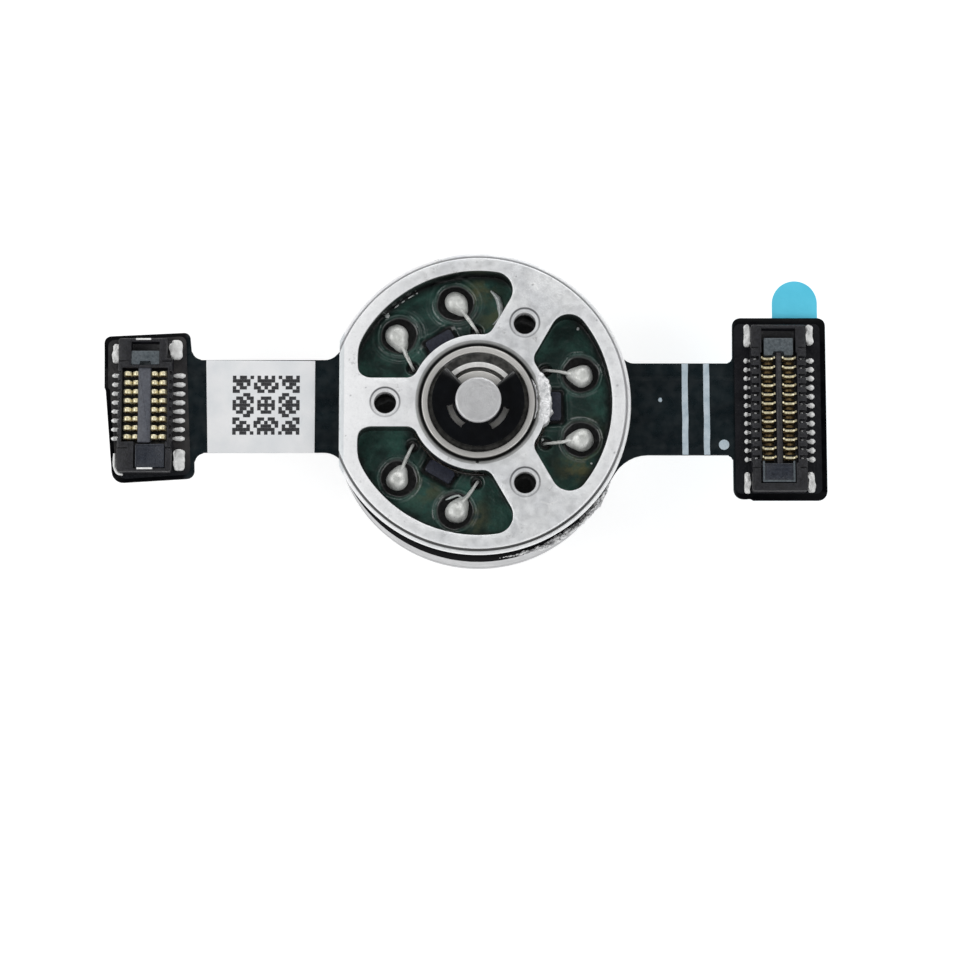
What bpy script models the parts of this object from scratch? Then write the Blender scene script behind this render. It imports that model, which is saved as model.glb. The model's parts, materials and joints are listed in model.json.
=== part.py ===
"""Miniature brushless gimbal motor with a through flexible circuit.

Run it with: blender --background --python part.py

The motor stands on the output face of its rotor. The origin is the centre of that face, +Z runs along
the shaft towards the mounting plate, and the two tails of the flexible circuit run along -X and +X.
The pieces are laid out in millimetres, and the last step brings them to metres.
"""

import math

import bmesh
import bpy
from mathutils import Matrix, Vector

MODEL_NAME = "gimbal_motor"
METRES_PER_MM = 0.001

# General
FIT = 0.02                      # gap kept between neighbouring pieces
RING_STEPS = 40                 # facets round a large turned piece
SMALL_STEPS = 24                # facets round the shaft and the pieces on it
JOINT_STEPS = 12                # facets round a solder joint or a screw hole
CORNER_STEPS = 3                # facets in a rounded corner
MERGE = 1e-5                    # vertices closer than this are one vertex
OVERCUT = 0.2                   # how far a cutting tool reaches beyond what it cuts
SMOOTH_ANGLE = math.radians(30)

# Mounting plate with its bearing sleeve
PLATE_TOP = 7.0
PLATE_BOTTOM = 5.78
PLATE_FACE_RADIUS = 6.40
PLATE_STEP_DEPTH = 0.26
PLATE_RADIUS = 6.64
PLATE_EDGE = 0.08
PLATE_FLAT_X = -6.04
HUB_RADIUS = 3.0
WINDOW_RADIUS = 5.77
ARM_WIDTH = 2.1
ARM_ANGLES = (60.0, 180.0, 300.0)
WINDOW_ANGLES = (0.0, 120.0, 240.0)
WINDOW_CORNER = 0.70
HUB_FILLET = 0.50
SCREW_CIRCLE = 4.05             # radius that the tapped holes lie on
SCREW_RADIUS = 0.475
SCREW_CHAMFER = 0.58
SLEEVE_RADIUS = 2.90
SLEEVE_BOTTOM = 1.02
SEAT_CHAMFER = 0.11

# Shaft, bearings and retaining clip
SHAFT_RADIUS = 1.0
SHAFT_TOP = 7.60
SHAFT_BOTTOM = 0.30
SHAFT_CHAMFER = 0.10
BEARING_RADIUS = 2.5
BEARING_WIDTH = 2.5
UPPER_BEARING_BOTTOM = PLATE_TOP - BEARING_WIDTH
LOWER_BEARING_BOTTOM = 1.0
OUTER_RING_BORE = 2.19
INNER_RING_RADIUS = 1.38
RING_CHAMFER = 0.08
SHOULDER_RADIUS = 2.2
BALL_RADIUS = 0.38
BALL_CIRCLE = 1.785
BALL_COUNT = 7
CAGE_INNER = 1.50
CAGE_OUTER = 2.02
CAGE_LOW = 0.10                 # the cage ring's height above the ball centres
CAGE_HIGH = 0.38
SHIELD_INNER = 1.44
SHIELD_OUTER = 2.17
SHIELD_THICKNESS = 0.10
SHIELD_RECESS = 0.04
GROOVE_RADIUS = 0.75
CLIP_RADIUS = 2.0
CLIP_THICKNESS = 0.40
CLIP_PRONG_RADIUS = GROOVE_RADIUS + FIT
CLIP_GAP_RADIUS = 1.42
CLIP_ANGLE = 267.0              # where the clip's middle prong points, in degrees
CLIP_MOUTH_HALF = 45.5          # half the open side, opposite the middle prong
CLIP_GAP_SPAN = (25.0, 80.5)    # the gap on each side of the middle prong

# Rotor can, back iron and magnets
CAN_RADIUS = 6.52
CAN_BORE = 6.12
CAN_TOP = 4.25
CAN_FLOOR = 0.70
CAN_EDGE_RADIUS = 0.20
CAN_BOSS_RADIUS = 1.33
CAN_BOSS_TOP = LOWER_BEARING_BOTTOM - FIT
OUTPUT_HOLE_CIRCLE = 4.05
OUTPUT_HOLE_ANGLES = (90.0, 210.0, 330.0)
BACK_IRON_BORE = 5.72
BACK_IRON_TOP = 4.15
MAGNET_COUNT = 12
MAGNET_BORE = 5.02
MAGNET_RADIUS = 5.68
MAGNET_SWEEP = 26.0
MAGNET_LOW = 0.95
MAGNET_HIGH = 3.95

# Stator core, insulators and windings
TOOTH_COUNT = 9
CORE_LOW = 1.70
CORE_HIGH = 3.90
YOKE_RADIUS = 3.35
TOOTH_HALF_WIDTH = 0.36
SHOE_RADIUS = 4.86
SHOE_ROOT = 4.60
SHOE_HALF_ANGLE = 16.0
INSULATOR_THICKNESS = 0.15
INSULATOR_HALF_WIDTH = 0.42
INSULATOR_REACH = 4.50
COIL_INNER = 3.50               # the coil lies on its tooth between these two radii
COIL_OUTER = 4.46
COIL_HALF_OPENING = 0.45
COIL_BUILD = 0.36               # thickness of the wound bundle
COIL_CORNER = 0.30
WIRE_RADIUS = 0.06
POST_RADIUS = 3.62              # where a crossover wire comes up from its coil
CROSSOVER_RADIUS = 3.20
CROSSOVER_LOW = 4.65
CROSSOVER_PITCH = 0.15
CROSSOVER_STEP = 15.0           # degrees from one point of a crossover wire to the next
CROSSOVER_OVERLAP = 1.0         # degrees that a crossover wire runs on past its last coil
LEAD_RADIUS = 3.36              # where a winding end comes up through the board
LEAD_OFFSET = 29.0              # its angle from the middle of its window
PHASE_ARCS = ((0.0, 331.0), (149.0, 451.0), (269.0, 571.0))

# Circuit board and flexible circuit
FLEX_THICKNESS = 0.14
FLEX_LOW = 5.27
FLEX_HIGH = FLEX_LOW + FLEX_THICKNESS
BOARD_THICKNESS = 0.20
BOARD_LOW = FLEX_HIGH + FIT
BOARD_HIGH = BOARD_LOW + BOARD_THICKNESS
BOARD_BORE = 3.05
BOARD_RADIUS = 6.15
NOTCH_RADIUS = 0.32
PAD_CIRCLE = 4.72
PAD_OFFSET = 17.7               # a pad's angle from the middle of its window
PAD_RADIUS = 0.50
SOLDER_HEIGHT = 0.45
SOLDER_DOME = ((0.0, 1.0), (0.5, 0.88), (0.85, 0.55), (1.0, 0.2))   # shares of radius and height
SENSOR_INNER = 3.05
SENSOR_OUTER = 3.62
SENSOR_LENGTH = 1.25
SENSOR_HEIGHT = 0.30

# The two tails
LEFT_HINGE_X = -6.90
RIGHT_HINGE_X = 7.60
HINGE_Z = FLEX_LOW + FLEX_THICKNESS / 2
HINGE_GAP = 0.09                # the strip stops this far from the bend line on each side
LEFT_STRIP_WIDTH = 4.10
LEFT_HEAD = (-16.40, -12.50, 6.45)     # outer end, inner end and height of the stiffened head
LEFT_HEAD_CORNER = 0.32
LEFT_HEAD_FILLET = 0.44
RIGHT_STRIP_WIDTH = 4.00
RIGHT_HEAD = (15.30, 11.17, 7.90)
RIGHT_HEAD_CORNER = 0.35
RIGHT_HEAD_FILLET = 0.22
STIFFENER_THICKNESS = 0.20
STIFFENER_INSET = 0.04
LABEL_X = (-11.84, -7.18)
LABEL_THICKNESS = 0.05
PAD_CENTRE_X = 13.88
PAD_WIDTH = 2.0
PAD_HALF_LENGTH = 3.5
PAD_THICKNESS = 0.10
LINER_TAB_END = 5.70            # how far the liner's tab reaches from the head's middle
LINER_THICKNESS = 0.05

# Connectors: sizes across the rows (X), along them (Y) and above the flexible circuit (Z)
CONTACT_PITCH = 0.40
CONTACT_WIDTH = 0.20
CONTACT_STOCK = 0.10            # thickness of the contact strip
CONTACT_HEIGHT = 0.50
HOUSING_HEIGHT = 0.75
HOUSING_FLOOR = 0.17
HOUSING_CORNER = 0.08
TRENCH_MARGIN = 0.30            # the trench runs on this far past the last contact
SLOT_WIDTH = 0.26
SOLDER_TAIL_END = 1.56
CARRIER_WIDTH = 0.10
HOLD_DOWN_HEIGHT = 0.17
HOLD_DOWN_BAR = 0.10
LEFT_CONNECTOR = {
    "centre": -14.50,
    "contacts": 8,
    "half_width": 1.18,
    "half_length": 2.95,
    "trench": (0.33, 0.90),
    "posts": ((0.40, 0.50), (0.72, 0.82)),
    "hold_down": (1.20, 1.54, 0.85),
}
RIGHT_CONNECTOR = {
    "centre": 13.18,
    "contacts": 12,
    "half_width": 1.20,
    "half_length": 3.68,
    "trench": (0.14, 0.78),
    "posts": ((0.22, 0.32), (0.60, 0.70)),
    "hold_down": (1.22, 1.54, 0.90),
}

FINISHES = {
    "machined_aluminium": ((0.72, 0.73, 0.75), 0.32, 1.0),
    "can_metal": ((0.62, 0.62, 0.63), 0.38, 1.0),
    "bearing_steel": ((0.60, 0.58, 0.55), 0.22, 1.0),
    "shaft_steel": ((0.55, 0.55, 0.56), 0.30, 1.0),
    "black_spring_steel": ((0.015, 0.016, 0.022), 0.35, 0.6),
    "back_iron": ((0.30, 0.30, 0.31), 0.45, 1.0),
    "magnet_nickel": ((0.45, 0.44, 0.42), 0.35, 1.0),
    "core_laminations": ((0.20, 0.21, 0.23), 0.50, 0.8),
    "insulator_resin": ((0.75, 0.72, 0.62), 0.55, 0.0),
    "enamelled_copper": ((0.45, 0.16, 0.06), 0.30, 0.9),
    "board_green": ((0.02, 0.07, 0.05), 0.18, 0.0),
    "flex_black": ((0.010, 0.014, 0.018), 0.40, 0.0),
    "chip_resin": ((0.05, 0.055, 0.08), 0.45, 0.0),
    "solder_metal": ((0.62, 0.62, 0.60), 0.38, 0.9),
    "stiffener_laminate": ((0.012, 0.013, 0.015), 0.50, 0.0),
    "connector_resin": ((0.03, 0.03, 0.035), 0.45, 0.0),
    "contact_gold": ((0.72, 0.58, 0.32), 0.28, 1.0),
    "hold_down_tin": ((0.70, 0.69, 0.66), 0.35, 1.0),
    "label_paper": ((0.80, 0.80, 0.80), 0.60, 0.0),
    "adhesive_film": ((0.65, 0.66, 0.62), 0.55, 0.0),
    "liner_film": ((0.10, 0.58, 0.80), 0.40, 0.0),
}


# Scene


def clear_scene():
    for item in list(bpy.data.objects):
        bpy.data.objects.remove(item, do_unlink=True)


def new_collection(name):
    collection = bpy.data.collections.new(name)
    bpy.context.scene.collection.children.link(collection)
    return collection


def make_finish(name):
    colour, roughness, metallic = FINISHES[name]
    finish = bpy.data.materials.new(name)
    finish.use_nodes = True
    shader = finish.node_tree.nodes["Principled BSDF"]
    shader.inputs["Base Color"].default_value = (*colour, 1.0)
    shader.inputs["Roughness"].default_value = roughness
    shader.inputs["Metallic"].default_value = metallic
    return finish


def finished(piece, finish):
    """Moves a piece from the workshop to the model and gives it its finish."""
    piece.data.materials.clear()
    piece.data.materials.append(bpy.data.materials[finish])
    workshop.objects.unlink(piece)
    model.objects.link(piece)
    return piece


# Outlines in the XY plane


def polar(radius, angle):
    turn = math.radians(angle)
    return (radius * math.cos(turn), radius * math.sin(turn))


def arc(radius, start, stop, steps, centre=(0.0, 0.0)):
    """Points along an arc whose angles are in degrees."""
    points = []
    for step in range(steps + 1):
        x, y = polar(radius, start + (stop - start) * step / steps)
        points.append((centre[0] + x, centre[1] + y))
    return points


def ring(radius, steps=RING_STEPS):
    return arc(radius, 0.0, 360.0, steps)[:-1]


def rounded(corners):
    """Closed outline through (x, y, radius) corners, each turned into an arc."""
    outline = []
    for index, (x, y, radius) in enumerate(corners):
        if radius == 0.0:
            outline.append((x, y))
            continue
        here = Vector((x, y))
        back = (Vector(corners[index - 1][:2]) - here).normalized()
        ahead = (Vector(corners[(index + 1) % len(corners)][:2]) - here).normalized()
        half = back.angle(ahead) / 2
        centre = here + (back + ahead).normalized() * (radius / math.sin(half))
        first = here + back * (radius / math.tan(half)) - centre
        last = here + ahead * (radius / math.tan(half)) - centre
        start = math.degrees(math.atan2(first.y, first.x))
        sweep = math.degrees(math.atan2(last.y, last.x)) - start
        sweep = (sweep + 180.0) % 360.0 - 180.0
        outline += arc(radius, start, start + sweep, CORNER_STEPS, centre)
    return outline


def rectangle(x_low, x_high, y_low, y_high, radius=0.0):
    return rounded([
        (x_low, y_low, radius),
        (x_high, y_low, radius),
        (x_high, y_high, radius),
        (x_low, y_high, radius),
    ])


def window_outline(middle):
    """Window of the plate between two arms, with its middle at the given angle."""
    half_arm = ARM_WIDTH / 2
    side = 60.0
    outer_reach = WINDOW_RADIUS - WINDOW_CORNER
    inner_reach = HUB_RADIUS + HUB_FILLET
    outer_angle = side - math.degrees(math.asin((half_arm + WINDOW_CORNER) / outer_reach))
    inner_angle = side - math.degrees(math.asin((half_arm + HUB_FILLET) / inner_reach))
    outer_centre = polar(outer_reach, outer_angle)
    inner_centre = polar(inner_reach, inner_angle)
    upper = arc(WINDOW_RADIUS, 0.0, outer_angle, 6)[:-1]
    upper += arc(WINDOW_CORNER, outer_angle, side + 90.0, 5, outer_centre)
    upper += arc(HUB_FILLET, side + 90.0, inner_angle + 180.0, 3, inner_centre)
    upper += arc(HUB_RADIUS, inner_angle, 0.0, 4)[1:]
    lower = [(x, -y) for x, y in reversed(upper[1:-1])]
    turn = Matrix.Rotation(math.radians(middle), 2)
    return [tuple(turn @ Vector(point)) for point in upper + lower]


def core_outline(half_width, reach, with_shoes):
    """Star of teeth round the yoke; the teeth end in shoes, or square at the given reach."""
    outline = []
    pitch = 360.0 / TOOTH_COUNT
    for tooth in range(TOOTH_COUNT):
        middle = tooth * pitch
        foot = math.degrees(math.asin(half_width / YOKE_RADIUS))
        half = [polar(YOKE_RADIUS, -foot)]
        if with_shoes:
            neck = math.degrees(math.asin(half_width / SHOE_ROOT))
            half += [polar(SHOE_ROOT, -neck), polar(SHOE_ROOT, -SHOE_HALF_ANGLE)]
            half += arc(SHOE_RADIUS, -SHOE_HALF_ANGLE, 0.0, 3)
        else:
            half += [(reach, -half_width), (reach, 0.0)]
        whole = half + [(x, -y) for x, y in reversed(half[:-1])]
        turn = Matrix.Rotation(math.radians(middle), 2)
        outline += [tuple(turn @ Vector(point)) for point in whole]
        outline.append(polar(YOKE_RADIUS, middle + pitch / 2))
    return outline


def clip_outline():
    """E-clip: a broad ring, open at its mouth, whose three prongs reach into the shaft's groove."""
    start = CLIP_ANGLE - 180.0 + CLIP_MOUTH_HALF
    stop = CLIP_ANGLE + 180.0 - CLIP_MOUTH_HALF
    gap_near, gap_far = CLIP_GAP_SPAN
    outline = arc(CLIP_RADIUS, start, stop, 24)
    outline += arc(CLIP_PRONG_RADIUS, stop, CLIP_ANGLE + gap_far, 4)
    outline += arc(CLIP_GAP_RADIUS, CLIP_ANGLE + gap_far, CLIP_ANGLE + gap_near, 4)
    outline += arc(CLIP_PRONG_RADIUS, CLIP_ANGLE + gap_near, CLIP_ANGLE - gap_near, 4)
    outline += arc(CLIP_GAP_RADIUS, CLIP_ANGLE - gap_near, CLIP_ANGLE - gap_far, 4)
    outline += arc(CLIP_PRONG_RADIUS, CLIP_ANGLE - gap_far, start, 4)
    return outline


def magnet_outline():
    half = MAGNET_SWEEP / 2
    return arc(MAGNET_RADIUS, -half, half, 4) + arc(MAGNET_BORE, half, -half, 4)


def flex_core_outline():
    """The flexible circuit inside the motor, with the start of its two tails."""
    left_angle = math.degrees(math.asin(LEFT_STRIP_WIDTH / 2 / BOARD_RADIUS))
    right_angle = math.degrees(math.asin(RIGHT_STRIP_WIDTH / 2 / BOARD_RADIUS))
    left_end = LEFT_HINGE_X + HINGE_GAP
    right_end = RIGHT_HINGE_X - HINGE_GAP
    outline = arc(BOARD_RADIUS, right_angle, 180.0 - left_angle, 16)
    outline += [(left_end, LEFT_STRIP_WIDTH / 2), (left_end, -LEFT_STRIP_WIDTH / 2)]
    outline += arc(BOARD_RADIUS, 180.0 + left_angle, 360.0 - right_angle, 16)
    outline += [(right_end, -RIGHT_STRIP_WIDTH / 2), (right_end, RIGHT_STRIP_WIDTH / 2)]
    return outline


def tail_outline(hinge_x, strip_width, head, corner, fillet):
    """A tail from its bend line to the end of its head."""
    outer, inner, height = head
    side = math.copysign(1.0, outer)
    start = hinge_x + side * HINGE_GAP
    half_strip = strip_width / 2
    half_head = height / 2
    return rounded([
        (start, -half_strip, 0.0),
        (inner, -half_strip, fillet),
        (inner, -half_head, corner),
        (outer, -half_head, corner),
        (outer, half_head, corner),
        (inner, half_head, corner),
        (inner, half_strip, fillet),
        (start, half_strip, 0.0),
    ])


# Solids


def frozen(piece):
    """Turns a piece's curve or modifiers into one plain closed mesh in place."""
    bpy.context.view_layer.update()
    graph = bpy.context.evaluated_depsgraph_get()
    mesh = bpy.data.meshes.new_from_object(piece.evaluated_get(graph))
    mesh.transform(piece.matrix_world)
    surface = bmesh.new()
    surface.from_mesh(mesh)
    bmesh.ops.remove_doubles(surface, verts=surface.verts, dist=MERGE)
    bmesh.ops.recalc_face_normals(surface, faces=surface.faces)
    surface.to_mesh(mesh)
    surface.free()
    name = piece.name
    bpy.data.objects.remove(piece)
    solid = bpy.data.objects.new(name, mesh)
    workshop.objects.link(solid)
    return solid


def turned(name, profile, steps=RING_STEPS):
    """Turned piece; its (radius, height) profile runs down the outer side."""
    mesh = bpy.data.meshes.new(name)
    edges = [(index, index + 1) for index in range(len(profile) - 1)]
    if profile[0][0] > 0.0:
        edges.append((len(profile) - 1, 0))
    mesh.from_pydata([(radius, 0.0, height) for radius, height in profile], edges, [])
    piece = bpy.data.objects.new(name, mesh)
    workshop.objects.link(piece)
    screw = piece.modifiers.new("turn", "SCREW")
    screw.steps = steps
    screw.render_steps = steps
    screw.use_merge_vertices = True
    screw.merge_threshold = MERGE
    return frozen(piece)


def flat(name, outlines, low, high):
    """Flat piece between two heights; outlines after the first are its holes."""
    curve = bpy.data.curves.new(name, "CURVE")
    curve.dimensions = "2D"
    curve.fill_mode = "BOTH"
    curve.extrude = (high - low) / 2
    for outline in outlines:
        spline = curve.splines.new("POLY")
        spline.points.add(len(outline) - 1)
        for point, (x, y) in zip(spline.points, outline):
            point.co = (x, y, 0.0, 1.0)
        spline.use_cyclic_u = True
    piece = bpy.data.objects.new(name, curve)
    piece.location.z = (low + high) / 2
    workshop.objects.link(piece)
    return frozen(piece)


def wire(name, path):
    curve = bpy.data.curves.new(name, "CURVE")
    curve.dimensions = "3D"
    curve.bevel_depth = WIRE_RADIUS
    curve.bevel_resolution = 1
    curve.use_fill_caps = True
    spline = curve.splines.new("POLY")
    spline.points.add(len(path) - 1)
    for point, place in zip(spline.points, path):
        point.co = (*place, 1.0)
    piece = bpy.data.objects.new(name, curve)
    workshop.objects.link(piece)
    return frozen(piece)


def ball(name, radius, centre):
    mesh = bpy.data.meshes.new(name)
    surface = bmesh.new()
    bmesh.ops.create_uvsphere(surface, u_segments=8, v_segments=6, radius=radius)
    surface.to_mesh(mesh)
    surface.free()
    mesh.transform(Matrix.Translation(centre))
    piece = bpy.data.objects.new(name, mesh)
    workshop.objects.link(piece)
    return piece


def block(name, x_range, y_range, z_range):
    return flat(name, [rectangle(*x_range, *y_range)], *z_range)


def shaped(piece, operation, tools):
    """Cuts a piece with its tools, or joins them to it, and uses the tools up."""
    for tool in tools:
        change = piece.modifiers.new(tool.name, "BOOLEAN")
        change.operation = operation
        change.object = tool
        tool.hide_render = True
        tool.display_type = "WIRE"
    solid = frozen(piece)
    for tool in tools:
        bpy.data.objects.remove(tool)
    return solid


def turn_mesh(piece, angle, axis="Z"):
    piece.data.transform(Matrix.Rotation(math.radians(angle), 4, axis))
    return piece


# Mounting plate and bearings


def screw_hole(angle, circle, top, bottom):
    """Tool for one chamfered tapped hole through a wall."""
    slope = SCREW_CHAMFER - SCREW_RADIUS
    tool = turned("screw_hole", [
        (0.0, top + OVERCUT),
        (SCREW_CHAMFER + OVERCUT, top + OVERCUT),
        (SCREW_RADIUS, top - slope),
        (SCREW_RADIUS, bottom - OVERCUT),
        (0.0, bottom - OVERCUT),
    ], JOINT_STEPS)
    tool.data.transform(Matrix.Translation((*polar(circle, angle), 0.0)))
    return tool


def make_mounting_plate():
    seat = BEARING_RADIUS + FIT
    step = PLATE_TOP - PLATE_STEP_DEPTH
    upper_shoulder = UPPER_BEARING_BOTTOM - FIT
    lower_shoulder = LOWER_BEARING_BOTTOM + BEARING_WIDTH + FIT
    plate = turned("mounting_plate", [
        (seat + SEAT_CHAMFER, PLATE_TOP),
        (PLATE_FACE_RADIUS, PLATE_TOP),
        (PLATE_FACE_RADIUS, step),
        (PLATE_RADIUS - PLATE_EDGE, step - PLATE_EDGE / 2),
        (PLATE_RADIUS, step - PLATE_EDGE * 1.5),
        (PLATE_RADIUS, PLATE_BOTTOM + PLATE_EDGE),
        (PLATE_RADIUS - PLATE_EDGE, PLATE_BOTTOM),
        (SLEEVE_RADIUS, PLATE_BOTTOM),
        (SLEEVE_RADIUS, SLEEVE_BOTTOM),
        (seat, SLEEVE_BOTTOM),
        (seat, lower_shoulder),
        (SHOULDER_RADIUS, lower_shoulder),
        (SHOULDER_RADIUS, upper_shoulder),
        (seat, upper_shoulder),
        (seat, PLATE_TOP - SEAT_CHAMFER),
    ])
    low, high = PLATE_BOTTOM - OVERCUT, PLATE_TOP + OVERCUT
    tools = [flat("window", [window_outline(angle)], low, high) for angle in WINDOW_ANGLES]
    tools += [screw_hole(angle, SCREW_CIRCLE, PLATE_TOP, PLATE_BOTTOM) for angle in ARM_ANGLES]
    far = PLATE_RADIUS + OVERCUT
    tools.append(block("plate_flat", (-far, PLATE_FLAT_X), (-far, far), (low, high)))
    return finished(shaped(plate, "DIFFERENCE", tools), "machined_aluminium")


def make_bearing(prefix, bottom, shield_side):
    """A 2 x 5 mm shielded ball bearing: outer ring, inner ring, shield, and balls in their cage."""
    top = bottom + BEARING_WIDTH
    outer = turned(prefix + "_bearing_outer_ring", [
        (OUTER_RING_BORE, top),
        (BEARING_RADIUS - RING_CHAMFER, top),
        (BEARING_RADIUS, top - RING_CHAMFER),
        (BEARING_RADIUS, bottom + RING_CHAMFER),
        (BEARING_RADIUS - RING_CHAMFER, bottom),
        (OUTER_RING_BORE, bottom),
    ], SMALL_STEPS)
    finished(outer, "bearing_steel")
    inner_bore = SHAFT_RADIUS + FIT / 2
    inner = turned(prefix + "_bearing_inner_ring", [
        (inner_bore, top),
        (INNER_RING_RADIUS, top),
        (INNER_RING_RADIUS, bottom),
        (inner_bore, bottom),
    ], SMALL_STEPS)
    finished(inner, "bearing_steel")
    if shield_side > 0:
        shield_top = top - SHIELD_RECESS
    else:
        shield_top = bottom + SHIELD_RECESS + SHIELD_THICKNESS
    shield = turned(prefix + "_bearing_shield", [
        (SHIELD_INNER, shield_top),
        (SHIELD_OUTER, shield_top),
        (SHIELD_OUTER, shield_top - SHIELD_THICKNESS),
        (SHIELD_INNER, shield_top - SHIELD_THICKNESS),
    ], SMALL_STEPS)
    finished(shield, "bearing_steel")
    middle = (bottom + top) / 2
    cage = turned(prefix + "_ball_cage", [
        (CAGE_INNER, middle + CAGE_HIGH),
        (CAGE_OUTER, middle + CAGE_HIGH),
        (CAGE_OUTER, middle + CAGE_LOW),
        (CAGE_INNER, middle + CAGE_LOW),
    ], SMALL_STEPS)
    balls = []
    for index in range(BALL_COUNT):
        place = (*polar(BALL_CIRCLE, 360.0 * index / BALL_COUNT), middle)
        balls.append(ball("ball", BALL_RADIUS, place))
    finished(shaped(cage, "UNION", balls), "bearing_steel")


# Rotor


def make_shaft():
    groove_low = PLATE_TOP
    groove_high = PLATE_TOP + CLIP_THICKNESS + 2 * FIT
    shaft = turned("shaft", [
        (0.0, SHAFT_TOP),
        (SHAFT_RADIUS - SHAFT_CHAMFER, SHAFT_TOP),
        (SHAFT_RADIUS, SHAFT_TOP - SHAFT_CHAMFER),
        (SHAFT_RADIUS, groove_high),
        (GROOVE_RADIUS, groove_high),
        (GROOVE_RADIUS, groove_low),
        (SHAFT_RADIUS, groove_low),
        (SHAFT_RADIUS, SHAFT_BOTTOM),
        (0.0, SHAFT_BOTTOM),
    ], SMALL_STEPS)
    return finished(shaft, "shaft_steel")


def make_retaining_clip():
    low = PLATE_TOP + FIT
    clip = flat("retaining_clip", [clip_outline()], low, low + CLIP_THICKNESS)
    return finished(clip, "black_spring_steel")


def make_rotor_can():
    bore = SHAFT_RADIUS + FIT / 2
    corner = (CAN_RADIUS - CAN_EDGE_RADIUS, CAN_EDGE_RADIUS)
    edge = arc(CAN_EDGE_RADIUS, 0.0, -90.0, 3, corner)
    can = turned("rotor_can", [
        (CAN_BORE, CAN_TOP),
        (CAN_RADIUS, CAN_TOP),
        *edge,
        (0.0, 0.0),
        (0.0, SHAFT_BOTTOM - FIT),
        (bore, SHAFT_BOTTOM - FIT),
        (bore, CAN_BOSS_TOP),
        (CAN_BOSS_RADIUS, CAN_BOSS_TOP),
        (CAN_BOSS_RADIUS, CAN_FLOOR),
        (CAN_BORE, CAN_FLOOR),
    ])
    tools = [screw_hole(angle, OUTPUT_HOLE_CIRCLE, CAN_FLOOR, 0.0) for angle in OUTPUT_HOLE_ANGLES]
    for tool in tools:
        tool.data.transform(Matrix.Diagonal((1.0, 1.0, -1.0, 1.0)))
        tool.data.transform(Matrix.Translation((0.0, 0.0, CAN_FLOOR)))
        tool.data.flip_normals()
    return finished(shaped(can, "DIFFERENCE", tools), "can_metal")


def make_back_iron():
    radius = CAN_BORE - FIT
    low = CAN_FLOOR + FIT
    iron = turned("back_iron_ring", [
        (BACK_IRON_BORE, BACK_IRON_TOP),
        (radius, BACK_IRON_TOP),
        (radius, low),
        (BACK_IRON_BORE, low),
    ])
    return finished(iron, "back_iron")


def make_magnets():
    """Twelve arc magnets that share one mesh."""
    first = flat("magnet_01", [magnet_outline()], MAGNET_LOW, MAGNET_HIGH)
    finished(first, "magnet_nickel")
    for index in range(1, MAGNET_COUNT):
        magnet = bpy.data.objects.new(f"magnet_{index + 1:02d}", first.data)
        magnet.rotation_euler.z = math.radians(360.0 * index / MAGNET_COUNT)
        model.objects.link(magnet)


# Stator


def make_stator_core():
    bore = ring(SLEEVE_RADIUS + FIT)
    teeth = core_outline(TOOTH_HALF_WIDTH, SHOE_RADIUS, True)
    core = flat("stator_core", [teeth, bore], CORE_LOW, CORE_HIGH)
    finished(core, "core_laminations")
    teeth = core_outline(INSULATOR_HALF_WIDTH, INSULATOR_REACH, False)
    heights = {
        "upper_insulator": (CORE_HIGH + FIT, CORE_HIGH + FIT + INSULATOR_THICKNESS),
        "lower_insulator": (CORE_LOW - FIT - INSULATOR_THICKNESS, CORE_LOW - FIT),
    }
    for name, (low, high) in heights.items():
        finished(flat(name, [teeth, bore], low, high), "insulator_resin")


def make_coil(angle):
    """One coil: a rounded rectangular bundle round its tooth."""
    low = CORE_LOW - INSULATOR_THICKNESS - 2 * FIT
    high = CORE_HIGH + INSULATOR_THICKNESS + 2 * FIT
    wide = COIL_HALF_OPENING + COIL_BUILD
    outside = rectangle(low - COIL_BUILD, high + COIL_BUILD, -wide, wide, COIL_CORNER)
    opening = rectangle(low, high, -COIL_HALF_OPENING, COIL_HALF_OPENING)
    coil = flat("coil", [outside, opening], -COIL_OUTER, -COIL_INNER)
    turn_mesh(coil, -90.0, "Y")
    return turn_mesh(coil, angle)


def pad_place(window, side):
    """Where a solder pad lies, and where its wire comes up through the board."""
    pad = Vector(polar(PAD_CIRCLE, window + side * PAD_OFFSET))
    notch = Vector(polar(LEAD_RADIUS, window + side * LEAD_OFFSET))
    return pad, notch


def make_phase_winding(phase):
    """Three coils in series, their crossover wire and the two ends on top of the board."""
    level = CROSSOVER_LOW + phase * CROSSOVER_PITCH
    coil_top = CORE_HIGH + INSULATOR_THICKNESS + 2 * FIT + COIL_BUILD
    pieces = []
    for coil in range(3):
        angle = 360.0 / TOOTH_COUNT * (phase + 3 * coil)
        pieces.append(make_coil(angle))
        pieces.append(wire("post", [
            (*polar(POST_RADIUS, angle), coil_top - COIL_BUILD / 2),
            (*polar(POST_RADIUS, angle), level),
            (*polar(CROSSOVER_RADIUS, angle), level),
        ]))
    start, stop = PHASE_ARCS[phase]
    steps = round((stop - start) / CROSSOVER_STEP)
    crossover = arc(CROSSOVER_RADIUS, start - CROSSOVER_OVERLAP, stop + CROSSOVER_OVERLAP, steps)
    pieces.append(wire("crossover", [(x, y, level) for x, y in crossover]))
    lead_level = BOARD_HIGH + FIT + WIRE_RADIUS
    window = WINDOW_ANGLES[phase]
    for side in (-1, 1):
        pad, notch = pad_place(window, side)
        inner = Vector(polar(CROSSOVER_RADIUS, window + side * LEAD_OFFSET))
        stop_short = pad + (notch - pad).normalized() * (PAD_RADIUS + FIT)
        pieces.append(wire("lead", [
            (*inner, level),
            (*notch, level),
            (*notch, lead_level),
            (*stop_short, lead_level),
        ]))
    first = pieces.pop(0)
    winding = shaped(first, "UNION", pieces)
    winding.name = "phase_winding_" + "abc"[phase]
    return finished(winding, "enamelled_copper")


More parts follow.
